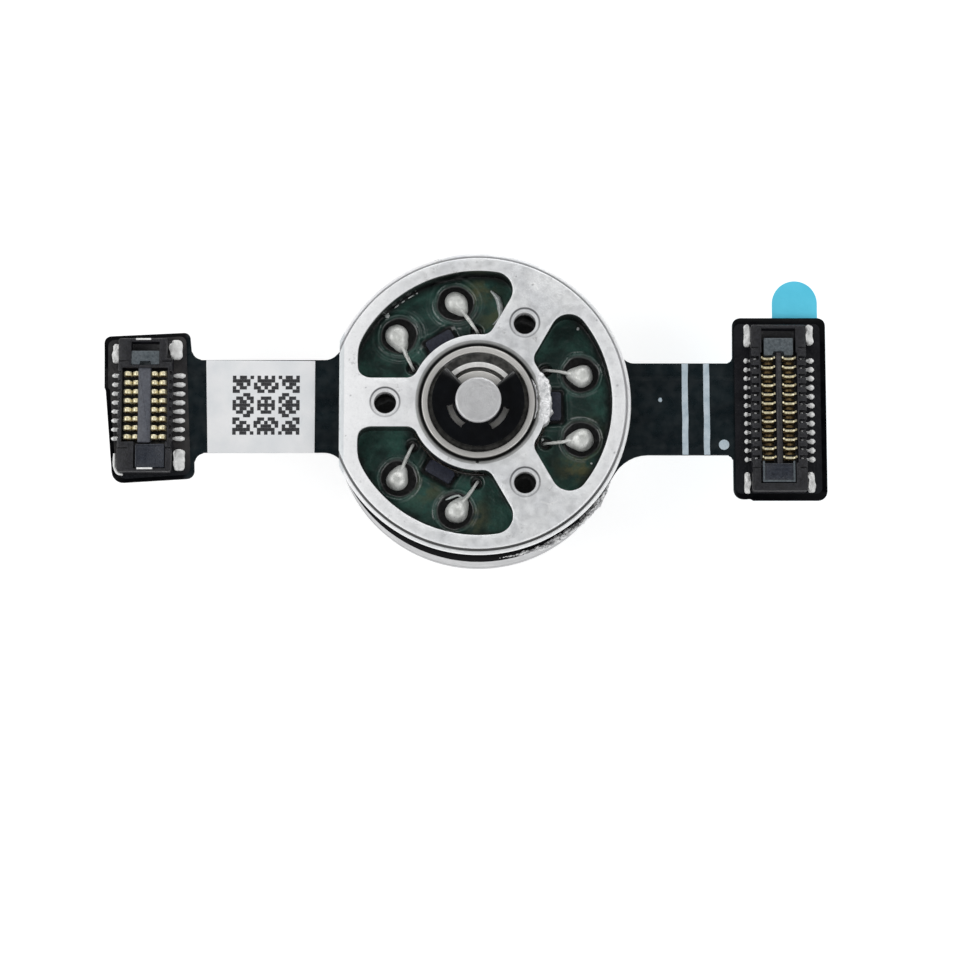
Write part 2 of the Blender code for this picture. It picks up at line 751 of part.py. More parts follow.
def make_boards():
    """The ring board and the flexible circuit under it, notched for the winding ends."""
    def notches():
        tools = []
        for window in WINDOW_ANGLES:
            for side in (-1, 1):
                place = pad_place(window, side)[1]
                low, high = FLEX_LOW - OVERCUT, BOARD_HIGH + OVERCUT
                centred = [(place.x + x, place.y + y) for x, y in ring(NOTCH_RADIUS, JOINT_STEPS)]
                tools.append(flat("notch", [centred], low, high))
        return tools

    board = flat("circuit_board", [ring(BOARD_RADIUS), ring(BOARD_BORE)], BOARD_LOW, BOARD_HIGH)
    finished(shaped(board, "DIFFERENCE", notches()), "board_green")
    core = flat("flex_core", [flex_core_outline(), ring(BOARD_BORE)], FLEX_LOW, FLEX_HIGH)
    finished(shaped(core, "DIFFERENCE", notches()), "flex_black")


def make_sensors_and_solder():
    low = BOARD_HIGH + FIT
    for name, window in zip("abc", WINDOW_ANGLES):
        half = SENSOR_LENGTH / 2
        sensor = block(
            "hall_sensor_" + name, (SENSOR_INNER, SENSOR_OUTER), (-half, half), (low, low + SENSOR_HEIGHT)
        )
        finished(turn_mesh(sensor, window), "chip_resin")
    places = [pad_place(window, side)[0] for window in WINDOW_ANGLES for side in (-1, 1)]
    for index, place in enumerate(places):
        dome = [(PAD_RADIUS * out, low + SOLDER_HEIGHT * up) for out, up in SOLDER_DOME]
        foot = [(PAD_RADIUS, low), (0.0, low)]
        joint = turned(f"solder_joint_{index + 1}", dome + foot, JOINT_STEPS)
        joint.data.transform(Matrix.Translation((place.x, place.y, 0.0)))
        finished(joint, "solder_metal")


# Tails


def make_connector(prefix, spec):
    """A board-to-board connector: resin housing, two contact rows and two hold-downs."""
    centre = spec["centre"]
    base = FLEX_HIGH + FIT
    top = base + HOUSING_HEIGHT
    half_row = (spec["contacts"] - 1) * CONTACT_PITCH / 2
    row = [index * CONTACT_PITCH - half_row for index in range(spec["contacts"])]
    trench_inner, trench_outer = spec["trench"]
    trench_half = half_row + TRENCH_MARGIN
    half_width, half_length = spec["half_width"], spec["half_length"]

    block_outline = rectangle(-half_width, half_width, -half_length, half_length, HOUSING_CORNER)
    housing = flat(prefix + "_connector_housing", [block_outline], base, top)
    tools = []
    for side in (-1, 1):
        tools.append(block(
            "trench",
            sorted((side * trench_inner, side * trench_outer)),
            (-trench_half, trench_half),
            (base + HOUSING_FLOOR, top + OVERCUT),
        ))
        for place in row:
            tools.append(block(
                "slot",
                sorted((side * (trench_inner + FIT), side * (half_width + OVERCUT))),
                (place - SLOT_WIDTH / 2, place + SLOT_WIDTH / 2),
                (base - OVERCUT, base + HOUSING_FLOOR + FIT),
            ))
    housing = shaped(housing, "DIFFERENCE", tools)
    housing.data.transform(Matrix.Translation((centre, 0.0, 0.0)))
    finished(housing, "connector_resin")

    for side, letter in ((-1, "a"), (1, "b")):
        contacts = contact_row(prefix + "_contacts_" + letter, spec, row, base)
        if side < 0:
            turn_mesh(contacts, 180.0)
        contacts.data.transform(Matrix.Translation((centre, 0.0, 0.0)))
        finished(contacts, "contact_gold")

    leg_inner, leg_outer, leg_length = spec["hold_down"]
    link = half_length + FIT
    for side, letter in ((-1, "a"), (1, "b")):
        outline = rounded([
            (-leg_outer, link - leg_length, 0.0),
            (-leg_inner, link - leg_length, 0.0),
            (-leg_inner, link, 0.0),
            (leg_inner, link, 0.0),
            (leg_inner, link - leg_length, 0.0),
            (leg_outer, link - leg_length, 0.0),
            (leg_outer, link + HOLD_DOWN_BAR, 0.0),
            (-leg_outer, link + HOLD_DOWN_BAR, 0.0),
        ])
        hold_down = flat(prefix + "_hold_down_" + letter, [outline], base, base + HOLD_DOWN_HEIGHT)
        if side < 0:
            turn_mesh(hold_down, 180.0)
        hold_down.data.transform(Matrix.Translation((centre, 0.0, 0.0)))
        finished(hold_down, "hold_down_tin")


def contact_row(name, spec, row, base):
    """Contacts of one row, on the +X side: cut from one bent strip and joined by its carrier."""
    (inner_low, inner_high), (outer_low, outer_high) = spec["posts"]
    carrier_start = spec["half_width"] + FIT
    low = base + FIT
    section = [
        (inner_low, low),
        (SOLDER_TAIL_END, low),
        (SOLDER_TAIL_END, low + CONTACT_STOCK),
        (outer_high, low + CONTACT_STOCK),
        (outer_high, low + CONTACT_HEIGHT),
        (outer_low, low + CONTACT_HEIGHT),
        (outer_low, low + CONTACT_STOCK),
        (inner_high, low + CONTACT_STOCK),
        (inner_high, low + CONTACT_HEIGHT),
        (inner_low, low + CONTACT_HEIGHT),
    ]
    half = row[-1] + CONTACT_WIDTH / 2
    strip = flat(name, [section], -half, half)
    turn_mesh(strip, 90.0, "X")
    tools = []
    for place in row[:-1]:
        gap = (place + CONTACT_WIDTH / 2, place + CONTACT_PITCH - CONTACT_WIDTH / 2)
        inside = (inner_low - OVERCUT, carrier_start)
        outside = (carrier_start + CARRIER_WIDTH, SOLDER_TAIL_END + OVERCUT)
        heights = (low - OVERCUT, low + CONTACT_HEIGHT + OVERCUT)
        for reach in (inside, outside):
            tools.append(block("gap", reach, gap, heights))
    return shaped(strip, "DIFFERENCE", tools)


def make_tail(prefix, hinge_x, strip_width, head, corner, fillet):
    """The flexible strip outside its bend line, and the stiffener under its head."""
    outline = tail_outline(hinge_x, strip_width, head, corner, fillet)
    finished(flat(prefix + "_flex", [outline], FLEX_LOW, FLEX_HIGH), "flex_black")
    low_x, high_x = sorted(head[:2])
    half = head[2] / 2 - STIFFENER_INSET
    under = rectangle(low_x + STIFFENER_INSET, high_x - STIFFENER_INSET, -half, half, corner)
    top = FLEX_LOW - FIT
    stiffener = flat(prefix + "_stiffener", [under], top - STIFFENER_THICKNESS, top)
    finished(stiffener, "stiffener_laminate")


def make_label():
    half = LEFT_STRIP_WIDTH / 2
    low = FLEX_HIGH + FIT
    label = block("left_label", LABEL_X, (-half, half), (low, low + LABEL_THICKNESS))
    finished(label, "label_paper")


def make_adhesive_and_liner():
    """The adhesive strip under the right head and the release liner that still covers it."""
    half_width = PAD_WIDTH / 2
    pad_top = FLEX_LOW - STIFFENER_THICKNESS - 2 * FIT
    low_x, high_x = PAD_CENTRE_X - half_width, PAD_CENTRE_X + half_width
    pad = flat(
        "right_adhesive_pad",
        [rectangle(low_x, high_x, -PAD_HALF_LENGTH, PAD_HALF_LENGTH)],
        pad_top - PAD_THICKNESS, pad_top,
    )
    finished(pad, "adhesive_film")
    liner_top = pad_top - PAD_THICKNESS - FIT
    tab = arc(half_width, 0.0, 180.0, 12, (PAD_CENTRE_X, LINER_TAB_END - half_width))
    outline = [(low_x, -PAD_HALF_LENGTH), (high_x, -PAD_HALF_LENGTH), *tab]
    liner = flat("release_liner", [outline], liner_top - LINER_THICKNESS, liner_top)
    finished(liner, "liner_film")


def add_hinge(name, x, prefixes):
    """An empty on a tail's bend line, which carries the tail's pieces."""
    hinge = bpy.data.objects.new(name, None)
    hinge.location = Vector((x, 0.0, HINGE_Z)) * METRES_PER_MM
    model.objects.link(hinge)
    for piece in model.objects:
        if piece.type == "MESH" and piece.name.startswith(prefixes):
            piece.parent = hinge
            piece.matrix_parent_inverse = Matrix.Translation(-hinge.location)


def bring_to_metres():
    for mesh in {piece.data for piece in model.objects}:
        mesh.transform(Matrix.Scale(METRES_PER_MM, 4))
        mesh.shade_smooth()
        mesh.set_sharp_from_angle(angle=SMOOTH_ANGLE)


clear_scene()
model = new_collection(MODEL_NAME)
workshop = new_collection("cutters")
for finish_name in FINISHES:
    make_finish(finish_name)

make_mounting_plate()
make_bearing("upper", UPPER_BEARING_BOTTOM, 1)
make_bearing("lower", LOWER_BEARING_BOTTOM, -1)
make_shaft()
make_retaining_clip()
make_rotor_can()
make_back_iron()
make_magnets()
make_stator_core()
for phase_number in range(3):
    make_phase_winding(phase_number)
make_boards()
make_sensors_and_solder()
make_tail("left", LEFT_HINGE_X, LEFT_STRIP_WIDTH, LEFT_HEAD, LEFT_HEAD_CORNER, LEFT_HEAD_FILLET)
make_tail("right", RIGHT_HINGE_X, RIGHT_STRIP_WIDTH, RIGHT_HEAD, RIGHT_HEAD_CORNER, RIGHT_HEAD_FILLET)
make_connector("left", LEFT_CONNECTOR)
make_connector("right", RIGHT_CONNECTOR)
make_label()
make_adhesive_and_liner()

bring_to_metres()
add_hinge("left_tail_hinge", LEFT_HINGE_X, ("left_",))
add_hinge("right_tail_hinge", RIGHT_HINGE_X, ("right_", "release_"))
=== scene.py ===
"""Looks of the miniature gimbal motor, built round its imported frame.

Shapes are laid out in millimetres in the frame's own axes (origin at the centre of the rotor's output
face, +Z towards the mounting plate, the flexible circuit along X) and brought to metres when placed.
"""

import json
import math
import random
from functools import partial, reduce

import bmesh
import bpy
from mathutils import Matrix, Vector, noise


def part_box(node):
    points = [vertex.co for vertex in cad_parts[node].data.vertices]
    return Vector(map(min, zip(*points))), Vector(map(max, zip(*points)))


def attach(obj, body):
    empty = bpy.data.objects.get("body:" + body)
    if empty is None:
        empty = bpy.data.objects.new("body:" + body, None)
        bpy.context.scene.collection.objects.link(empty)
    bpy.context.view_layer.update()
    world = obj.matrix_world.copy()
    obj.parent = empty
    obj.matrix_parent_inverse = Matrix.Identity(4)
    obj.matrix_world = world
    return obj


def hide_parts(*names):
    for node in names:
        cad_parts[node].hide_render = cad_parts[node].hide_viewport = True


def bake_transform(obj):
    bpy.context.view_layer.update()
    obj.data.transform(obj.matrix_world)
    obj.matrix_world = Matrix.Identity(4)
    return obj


MM = 0.001
SEED = 11

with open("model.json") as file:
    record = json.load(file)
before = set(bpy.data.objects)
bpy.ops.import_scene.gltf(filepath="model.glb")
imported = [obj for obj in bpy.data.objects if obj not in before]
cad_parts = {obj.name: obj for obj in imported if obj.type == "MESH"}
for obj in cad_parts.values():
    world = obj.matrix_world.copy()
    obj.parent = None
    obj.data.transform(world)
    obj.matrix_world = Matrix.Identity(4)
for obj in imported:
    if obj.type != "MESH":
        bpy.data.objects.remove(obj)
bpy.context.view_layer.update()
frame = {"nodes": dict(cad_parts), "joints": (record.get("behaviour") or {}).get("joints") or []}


def span(node):
    """Lowest and highest corner of a CAD node, in millimetres."""
    low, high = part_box(node)
    return low / MM, high / MM


def joint_place(name):
    joint = next(item for item in frame["joints"] if item["name"] == name)
    return Vector(joint["pos_m"]) / MM


# Driving dimensions, in millimetres and degrees

PLATE_LOW, PLATE_HIGH = span("mounting_plate")
PLATE_TOP = PLATE_HIGH.z
PLATE_RADIUS = PLATE_HIGH.x
PLATE_FLAT_X = PLATE_LOW.x
FLANGE_THICKNESS = 1.22
STEP_DEPTH = 0.20
GROOVE_DEPTH = 0.07              # groove at the foot of the step
FLAT_CHAMFER = 0.22
FLAT_CHAMFER_DROP = 0.07
STEP_WIDTH = 0.24
HUB_RADIUS = 3.0
WINDOW_RADIUS = 5.81
ARM_WIDTH = 2.16
ARM_ANGLES = (60.0, 180.0, 300.0)
WINDOW_ANGLES = (0.0, 120.0, 240.0)
OUTPUT_ANGLES = (90.0, 210.0, 330.0)
WINDOW_CORNER = 0.80
WINDOW_FLAT_X = -5.27           # the two left-hand windows end here, parallel to the flat
HUB_FILLET = 0.50
SCREW_CIRCLE = 4.05
SCREW_RADIUS = 0.475
SCREW_CHAMFER = 0.63
SLEEVE_RADIUS = 2.90
SHOULDER_RADIUS = 2.2
BEARING_WIDTH = 2.5
SEAT_CHAMFER = 0.12
# the can's wall above this height is painted black as shade under the plate
UNDERCUT = 0.14                 # how far the rim steps back below its lip
CAN_SHADE_LINE = 3.00                 # height at which the can's wall turns black

PLATE_MARKS = (                 # burnished scratches: start, stop and half-width
    ((2.28, 5.24), (2.48, 5.24), 0.045), ((2.46, 5.24), (2.60, 4.96), 0.045),
    ((2.70, -4.36), (3.06, -4.50), 0.055), ((3.06, -4.50), (3.42, -4.34), 0.050),
    ((3.06, -4.50), (3.02, -4.92), 0.070),
)
PLATE_SPECKS = (                # dark specks: place and half-width
    ((2.36, 5.18), 0.06), ((6.02, 0.71), 0.075), ((5.88, -2.24), 0.06), ((-5.56, 0.27), 0.055),
    ((1.64, 5.55), 0.04), ((-5.76, -1.50), 0.04), ((-4.90, 0.62), 0.04), ((5.15, 3.60), 0.05),
)

CLIP_RADIUS = 2.0
CLIP_SHADE_BAND_RADII = (1.015, 1.13)
CLIP_ANGLE = 267.0
CLIP_MOUTH_HALF = 45.5
CLIP_GAP_SPAN = (25.0, 80.5)
CLIP_PRONG_RADIUS = 0.79
CLIP_GAP_RADIUS = 1.40

BOARD_LOW, BOARD_HIGH = span("circuit_board")
BOARD_RADIUS = BOARD_HIGH.x
BOARD_BORE = 3.05
COAT = 0.07                     # clear coating over the board
PIT_RADIUS = 0.90
LEAD_RADIUS = 3.36
LEAD_OFFSET = 29.0
SENSOR_LENGTH = 1.25
TWICE_RINGED_PADS = (2, 3)      # their craters have a second, fainter lip
FLUX_STAINS = (                 # brownish clouds on the board: radius, angle and strength
    (4.95, -19.0, 1.0), (5.1, -31.0, 1.0), (5.2, 90.0, 0.8),
    (3.9, 77.0, 0.7), (5.0, -93.0, 0.6), (4.1, -122.0, 0.5),
)
BOARD_ROWS = 56                 # facets across and round the board
BOARD_COLUMNS = 600

FLEX_LOW, FLEX_HIGH = span("left_flex")
STRIP_LOW_Y = -2.09             # lower edge of the right-hand strip
STRIP_FLARE = 3.85              # half-width of the strips where they leave the board
BEND_REACH = 0.28               # how far the bend spreads on each side of a hinge line

DETAIL = 192                    # facets round a large turned piece
SMALL_DETAIL = 96


# Outlines in the XY plane


def polar(radius, angle):
    turn = math.radians(angle)
    return (radius * math.cos(turn), radius * math.sin(turn))


def arc(radius, start, stop, steps, centre=(0.0, 0.0)):
    points = []
    for step in range(steps + 1):
        x, y = polar(radius, start + (stop - start) * step / steps)
        points.append((centre[0] + x, centre[1] + y))
    return points


def ring(radius, steps=DETAIL):
    return arc(radius, 0.0, 360.0, steps)[:-1]


def rounded(corners, steps=6):
    """Closed outline through (x, y, radius) corners, each turned into an arc."""
    outline = []
    for index, (x, y, radius) in enumerate(corners):
        if radius == 0.0:
            outline.append((x, y))
            continue
        here = Vector((x, y))
        back = (Vector(corners[index - 1][:2]) - here).normalized()
        ahead = (Vector(corners[(index + 1) % len(corners)][:2]) - here).normalized()
        half = back.angle(ahead) / 2
        centre = here + (back + ahead).normalized() * (radius / math.sin(half))
        first = here + back * (radius / math.tan(half)) - centre
        last = here + ahead * (radius / math.tan(half)) - centre
        start = math.degrees(math.atan2(first.y, first.x))
        sweep = math.degrees(math.atan2(last.y, last.x)) - start
        sweep = (sweep + 180.0) % 360.0 - 180.0
        outline += arc(radius, start, start + sweep, steps, centre)
    return outline


def rectangle(x_low, x_high, y_low, y_high, radius=0.0, steps=4):
    corners = [(x_low, y_low), (x_high, y_low), (x_high, y_high), (x_low, y_high)]
    return rounded([(x, y, radius) for x, y in corners], steps)


def turned_outline(outline, angle):
    turn = Matrix.Rotation(math.radians(angle), 2)
    return [tuple(turn @ Vector(point)) for point in outline]


def softened(value, limit):
    """The value held above a limit, with a rounded turn where it reaches it."""
    above = value - limit
    return limit + (above + math.sqrt(above * above + 0.16 ** 2)) / 2


def window_outline(middle):
    """Window of the plate between two arms, with its middle at the given angle."""
    half_arm = ARM_WIDTH / 2
    side = 60.0
    outer_reach = WINDOW_RADIUS - WINDOW_CORNER
    inner_reach = HUB_RADIUS + HUB_FILLET
    outer_angle = side - math.degrees(math.asin((half_arm + WINDOW_CORNER) / outer_reach))
    inner_angle = side - math.degrees(math.asin((half_arm + HUB_FILLET) / inner_reach))
    upper = arc(WINDOW_RADIUS, 0.0, outer_angle, 24)[:-1]
    upper += arc(WINDOW_CORNER, outer_angle, side + 90.0, 14, polar(outer_reach, outer_angle))
    upper += arc(HUB_FILLET, side + 90.0, inner_angle + 180.0, 10, polar(inner_reach, inner_angle))
    upper += arc(HUB_RADIUS, inner_angle, 0.0, 16)[1:]
    lower = [(x, -y) for x, y in reversed(upper[1:-1])]
    outline = turned_outline(upper + lower, middle)
    return [(softened(x, WINDOW_FLAT_X), y) for x, y in outline]


def smooth_path(points, steps=8):
    """Points along a smooth curve through the given ones."""
    ends = [points[0], *points, points[-1]]
    path = []
    for a, b, c, d in zip(ends, ends[1:], ends[2:], ends[3:]):
        a, b, c, d = map(Vector, (a, b, c, d))
        for step in range(steps):
            t = step / steps
            path.append(0.5 * (2 * b + (c - a) * t + (2 * a - 5 * b + 4 * c - d) * t * t
                               + (3 * b - a - 3 * c + d) * t * t * t))
    path.append(Vector(points[-1]))
    return path


def smooth_step(low, high, value):
    share = min(max((value - low) / (high - low), 0.0), 1.0)
    return share * share * (3.0 - 2.0 * share)


# Surfaces: closed bmesh bodies in millimetres


def skin(surface, rings, closed=False):
    """Covers the gaps between rings of corners, taken in order; a ring of one corner is a tip."""
    following = rings[1:] + rings[:1] if closed else rings[1:]
    for one, other in zip(rings, following):
        count = max(len(one), len(other))
        if count == 1:
            continue
        for index in range(count):
            after = (index + 1) % count
            corners = [one[index % len(one)], one[after % len(one)],
                       other[after % len(other)], other[index % len(other)]]
            surface.faces.new(list(dict.fromkeys(corners)))
    return surface


def eased(surface, rims, width, segments):
    """Rounds the given edges of a body."""
    bmesh.ops.bevel(surface, geom=rims, offset=width, offset_type="OFFSET", segments=segments,
                    profile=0.5, affect="EDGES", clamp_overlap=False)
    return surface


def turned(profile, steps=DETAIL):
    """Turned body from a closed (radius, height) profile."""
    surface = bmesh.new()
    rings = []
    for radius, height in profile:
        spots = ring(radius, steps) if radius else [(0.0, 0.0)]
        rings.append([surface.verts.new((x, y, height)) for x, y in spots])
    return skin(surface, rings, closed=True)


def slab(outline, low, high, edge=0.0, segments=3, both=False):
    """Flat body between two heights with its upper edge, or both edges, rounded."""
    surface = bmesh.new()
    bottom, top = [[surface.verts.new((x, y, level)) for x, y in outline] for level in (low, high)]
    surface.faces.new(list(reversed(bottom)))
    surface.faces.new(top)
    skin(surface, [bottom, top])
    if edge > 0.0:
        levels = (low, high) if both else (high,)
        rims = [rim for rim in surface.edges if rim.verts[0].co.z == rim.verts[1].co.z
                and any(abs(rim.verts[0].co.z - level) < 1e-6 for level in levels)]
        eased(surface, rims, edge, segments)
    return surface


def around(middle, half):
    return (middle - half, middle + half)


def block(x_range, y_range, z_range, edge=0.0, corner=0.0):
    return slab(rectangle(*sorted(x_range), *sorted(y_range), corner), *sorted(z_range), edge, 2)


def tube(path, radii, sides=10):
    """Round bar along a path whose radius may change from point to point."""
    surface = bmesh.new()
    rings = []
    tilt = Vector((0.31, 0.17, 1.0))
    for index, point in enumerate(path):
        ahead = Vector(path[min(index + 1, len(path) - 1)]) - Vector(path[max(index - 1, 0)])
        across = ahead.cross(tilt).normalized()
        upward = across.cross(ahead).normalized()
        share = index / (len(path) - 1) * (len(radii) - 1)
        lower = min(int(share), len(radii) - 2)
        radius = radii[lower] + (radii[lower + 1] - radii[lower]) * (share - lower)
        rings.append([surface.verts.new(Vector(point) + across * x + upward * y)
                      for x, y in ring(radius, sides)])
    skin(surface, rings)
    surface.faces.new(rings[0])
    surface.faces.new(list(reversed(rings[-1])))
    return surface


def crust(upper, lower):
    """Closed body between two grids of points that have the same rows and columns."""
    surface = bmesh.new()
    top, bottom = [[[surface.verts.new(point) for point in row] for row in grid] for grid in (upper, lower)]
    rows, columns = len(top), len(top[0])
    for r in range(rows - 1):
        for c in range(columns - 1):
            for grid in (top, bottom):
                surface.faces.new((grid[r][c], grid[r][c + 1], grid[r + 1][c + 1], grid[r + 1][c]))
    border = [(0, c) for c in range(columns)] + [(r, columns - 1) for r in range(1, rows)]
    border += [(rows - 1, c) for c in reversed(range(columns - 1))] + [(r, 0) for r in range(rows - 2, 0, -1)]
    return skin(surface, [[grid[r][c] for r, c in border] for grid in (top, bottom)])


def pebble(radius, finer, roughness, pitch, offset=(0.0, 0.0, 0.0), stretch=(1.0, 1.0, 1.0)):
    """Lumpy ball: its surface is pushed in and out by noise and then stretched."""
    surface = bmesh.new()
    bmesh.ops.create_icosphere(surface, subdivisions=finer, radius=radius)
    for vertex in surface.verts:
        vertex.co *= 1.0 + roughness * noise.noise(vertex.co * pitch + Vector(offset))
        vertex.co = vertex.co * Vector(stretch)
    return surface


def joined(surfaces):
    """Several closed bodies as one group."""
    whole = bmesh.new()
    for surface in surfaces:
        mesh = bpy.data.meshes.new("part")
        surface.to_mesh(mesh)
        surface.free()
        whole.from_mesh(mesh)
        bpy.data.meshes.remove(mesh)
    return whole


def moved(surface, offset=(0.0, 0.0, 0.0), angle=0.0):
    """Turns a body about Z and then shifts it."""
    change = Matrix.Translation(offset) @ Matrix.Rotation(math.radians(angle), 4, "Z")
    bmesh.ops.transform(surface, matrix=change, verts=surface.verts)
    return surface


def mirrored(surface):
    bmesh.ops.transform(surface, matrix=Matrix.Diagonal((-1.0, 1.0, 1.0, 1.0)), verts=surface.verts)
    return surface


def cut_up(surface, axis, places):
    """Splits a body's faces along planes square to one axis, so that it can bend."""
    normal = Vector((axis == 0, axis == 1, axis == 2))
    for place in places:
        bmesh.ops.bisect_plane(
            surface, geom=[*surface.verts, *surface.edges, *surface.faces],
            plane_co=normal * place, plane_no=normal, dist=1e-5,
        )
    return surface


def steps_between(start, stop, pitch):
    count = max(1, round(abs(stop - start) / pitch))
    return [start + (stop - start) * index / count for index in range(count + 1)]


def placed(name, data):
    """A new object in the scene."""
    item = bpy.data.objects.new(name, data)
    bpy.context.scene.collection.objects.link(item)
    return item


def carved(surface, tools, edge=0.0):
    """Cuts the tools' shapes out of a body and then rounds its sharp edges."""
    items = []
    for shape in (surface, *tools):
        mesh = bpy.data.meshes.new("work")
        bmesh.ops.recalc_face_normals(shape, faces=shape.faces)
        shape.to_mesh(mesh)
        shape.free()
        items.append(placed("work", mesh))
    body = items[0]
    for item in items[1:]:
        cut = body.modifiers.new("cut", "BOOLEAN")
        cut.operation = "DIFFERENCE"
        cut.object = item
    if edge > 0.0:
        soften = body.modifiers.new("soften", "BEVEL")
        soften.width = edge
        soften.segments = 2
        soften.limit_method = "ANGLE"
        soften.angle_limit = math.radians(60.0)
        soften.use_clamp_overlap = False
    bpy.context.view_layer.update()
    graph = bpy.context.evaluated_depsgraph_get()
    mesh = bpy.data.meshes.new_from_object(body.evaluated_get(graph))
    result = bmesh.new()
    result.from_mesh(mesh)
    for item in items:
        bpy.data.objects.remove(item)
    bpy.data.meshes.remove(mesh)
    return result



def trimmed(surface, place, facing):
    """Cuts off what lies beyond a plane and closes the cut."""
    cut = bmesh.ops.bisect_plane(
        surface, geom=[*surface.verts, *surface.edges, *surface.faces],
        plane_co=place, plane_no=facing, clear_outer=True, dist=1e-5,
    )
    rims = [item for item in cut["geom_cut"] if isinstance(item, bmesh.types.BMEdge)]
    bmesh.ops.triangle_fill(surface, edges=rims, use_beauty=True, normal=facing)
    return surface


def piece(name, surface, finish, body, replaced=(), crease=38.0):
    """Places a body in the scene: in metres, with its finish, riding on a CAD body."""
    mesh = bpy.data.meshes.new(name)
    bmesh.ops.recalc_face_normals(surface, faces=surface.faces)
    surface.to_mesh(mesh)
    surface.free()
    mesh.transform(Matrix.Scale(MM, 4))
    mesh.shade_smooth()
    mesh.set_sharp_from_angle(angle=math.radians(crease))
    item = placed(name, mesh)
    mesh.materials.append(look(finish))
    if body:
        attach(item, body)
    if replaced:
        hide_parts(*replaced)
    return item


# Materials


class Value:
    """A number or colour that varies over a surface; arithmetic on it makes shader nodes."""

    def __init__(self, mat, socket):
        self.mat = mat
        self.socket = socket

    def math(self, operation, other=0.0):
        made = self.mat.node("ShaderNodeMath", operation=operation)
        self.mat.put(self, made.inputs[0])
        self.mat.put(other, made.inputs[1])
        return Value(self.mat, made.outputs[0])

    def __add__(self, other):
        return self.math("ADD", other)

    def __sub__(self, other):
        return self.math("SUBTRACT", other)

    def __mul__(self, other):
        return self.math("MULTIPLY", other)

    def __abs__(self):
        return self.math("ABSOLUTE")

    def between(self, low, high, to_low=0.0, to_high=1.0):
        """How far the value is from low to high, held at both ends, as a number from to_low to to_high."""
        made = self.mat.node("ShaderNodeMapRange", clamp=True)
        names = ("Value", "From Min", "From Max", "To Min", "To Max")
        for name, number in zip(names, (self, low, high, to_low, to_high)):
            self.mat.put(number, made.inputs[name])
        return Value(self.mat, made.outputs[0])


def most(*values):
    """The greatest of several values at each place."""
    return reduce(lambda one, other: one.math("MAXIMUM", other), values)


def fill_ramp(node, stops):
    elements = node.color_ramp.elements
    while len(elements) < len(stops):
        elements.new(0.5)
    for element, (position, colour) in zip(elements, stops):
        element.position = position
        element.color = (*colour, 1.0)


